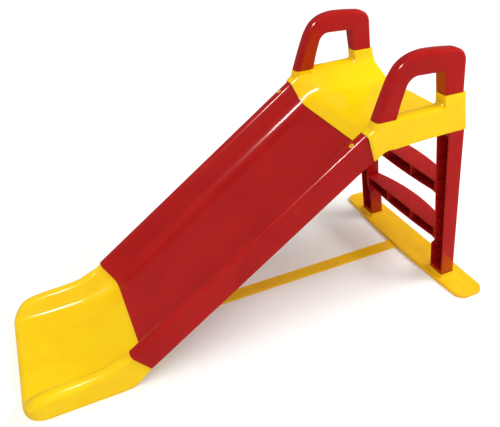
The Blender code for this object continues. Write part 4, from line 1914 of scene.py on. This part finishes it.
@dataclass
class Fasteners(SubAssembly):
    """The screws and pins, whose CAD shapes are right as they are: zinc-plated steel, and red
    nylon where a head can be seen in a post's channel."""

    def build(self, nodes: dict[str, bpy.types.Object]) -> None:
        """Dresses every screw and pin.

        Args:
            nodes: The CAD nodes by name.
        """
        for name, obj in nodes.items():
            if "screw" in name or "strap_pin" in name:
                # Step screws take the lighter copy of the red, the same painted sheen as the steps.
                finish = RED_PAINTED_SHEEN if name.startswith("step_") else ZINC
                self.wardrobe.dress(obj, finish)
                LOG.info("%s: %s", name, finish.name)


# ------------------------------------------------------------------ studio


class Task(Enum):
    """What a lamp is for."""

    FILL = "soft light without a mirror image"
    GLINT = "mirror images on edges, without lifting the exposure"


@dataclass(frozen=True)
class Lamp:
    """One softbox: its task, where it hangs, what it looks at, its size and its power."""

    name: str
    task: Task
    place: tuple[float, float, float]
    aim: tuple[float, float, float]
    size: tuple[float, float]
    watts: float


@dataclass
class Studio:
    """A pale floor, a wide soft top light, softboxes and the camera."""

    lamps: tuple[Lamp, ...] = (
        Lamp("lamp_one", Task.GLINT, (-0.74, -0.40, 2.08), (-0.1, 0.0, 0.3), (0.20, 0.10), 11.0),
        Lamp("lamp_two", Task.GLINT, (-0.52, -0.40, 2.08), (-0.1, 0.0, 0.3), (0.20, 0.10), 11.0),
        Lamp("front_fill", Task.FILL, (-0.75, -1.75, 1.35), (0.3, 0.0, 0.2), (1.3, 1.1), 1.5),
        Lamp("rear_fill", Task.FILL, (2.30, -0.80, 1.90), (0.4, 0.0, 0.1), (1.2, 1.0), 34.0),
    )
    top_from: tuple[float, float, float] = (-0.15, -0.32, 0.93)
    top_strength: float = 2.55
    top_spread: float = math.radians(75.0)
    world_strength: float = 0.14
    lens: float = 37.6631
    camera_place: tuple[float, float, float] = (-0.433716, -1.085558, 1.102243)
    camera_turn: tuple[float, float, float] = (55.2162, 1.5564, -23.9958)

    def top_light(self) -> None:
        """The wide soft light that lights the floor evenly."""
        data = bpy.data.lights.new("top_light", "SUN")
        data.energy = self.top_strength
        data.angle = self.top_spread
        obj = bpy.data.objects.new("top_light", data)
        obj.rotation_euler = (-Vector(self.top_from)).to_track_quat("-Z", "Y").to_euler()
        obj.visible_glossy = False
        bpy.context.scene.collection.objects.link(obj)

    def floor(self) -> None:
        """A pale painted floor that curves up into a wall far from the object."""
        flat, cove, high = 7.0, 3.0, 8.0
        profile = [(0.0, 0.0), (0.0, 3.0), (0.0, flat)]
        for k in range(1, 13):
            a = math.pi / 2 * k / 12
            profile.append((cove * (1.0 - math.cos(a)), flat + cove * math.sin(a)))
        profile.append((high, flat + cove))
        bm = spun(profile, 96)
        face_out(bm, closed=False)
        floor = mesh_object("studio_floor", bm)
        shade(floor, 60.0)
        floor.data.materials.append(STUDIO_PAINT.material())
        floor.visible_glossy = False

    def sky(self) -> None:
        """An even white surround."""
        world = bpy.data.worlds.new("studio")
        bpy.context.scene.world = world
        world.use_nodes = True
        back = world.node_tree.nodes["Background"]
        back.inputs["Color"].default_value = linear("#FFFFFF")
        back.inputs["Strength"].default_value = self.world_strength

    def light(self, lamp: Lamp) -> None:
        """Hangs one soft light.

        Args:
            lamp: The light.
        """
        data = bpy.data.lights.new(lamp.name, "AREA")
        data.shape = "RECTANGLE"
        data.size, data.size_y = lamp.size
        data.energy = lamp.watts
        obj = bpy.data.objects.new(lamp.name, data)
        way = Vector(lamp.aim) - Vector(lamp.place)
        obj.location = lamp.place
        obj.rotation_euler = way.to_track_quat("-Z", "Y").to_euler()
        obj.visible_glossy = lamp.task is Task.GLINT
        obj.visible_diffuse = lamp.task is Task.FILL
        bpy.context.scene.collection.objects.link(obj)

    def camera(self) -> None:
        """The camera: above the rider's left, looking up the slide."""
        data = bpy.data.cameras.new("camera")
        data.sensor_width = 36.0
        data.lens = self.lens
        data.clip_start, data.clip_end = 0.05, 60.0
        obj = bpy.data.objects.new("camera", data)
        obj.location = self.camera_place
        obj.rotation_euler = Euler([math.radians(a) for a in self.camera_turn])
        bpy.context.scene.collection.objects.link(obj)
        bpy.context.scene.camera = obj

    def build(self) -> None:
        """Sets the studio up."""
        self.camera()
        self.sky()
        self.floor()
        self.top_light()
        for lamp in self.lamps:
            self.light(lamp)
        bpy.context.scene.view_settings.view_transform = "Standard"


def main() -> None:
    """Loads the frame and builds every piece."""
    logging.basicConfig(level=logging.INFO, format="%(name)s: %(message)s")
    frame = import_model()
    Studio().build()
    wardrobe = Wardrobe()
    for part in (
        SlideBed,
        BedPlugs,
        FootScoop,
        Platform,
        Handles,
        LadderPosts,
        Steps,
        BasePlate,
        TieStrap,
    ):
        LOG.info("building %s", part.__name__)
        part(wardrobe).build()
    Fasteners(wardrobe).build(frame["nodes"])


if __name__ == "__main__":
    main()
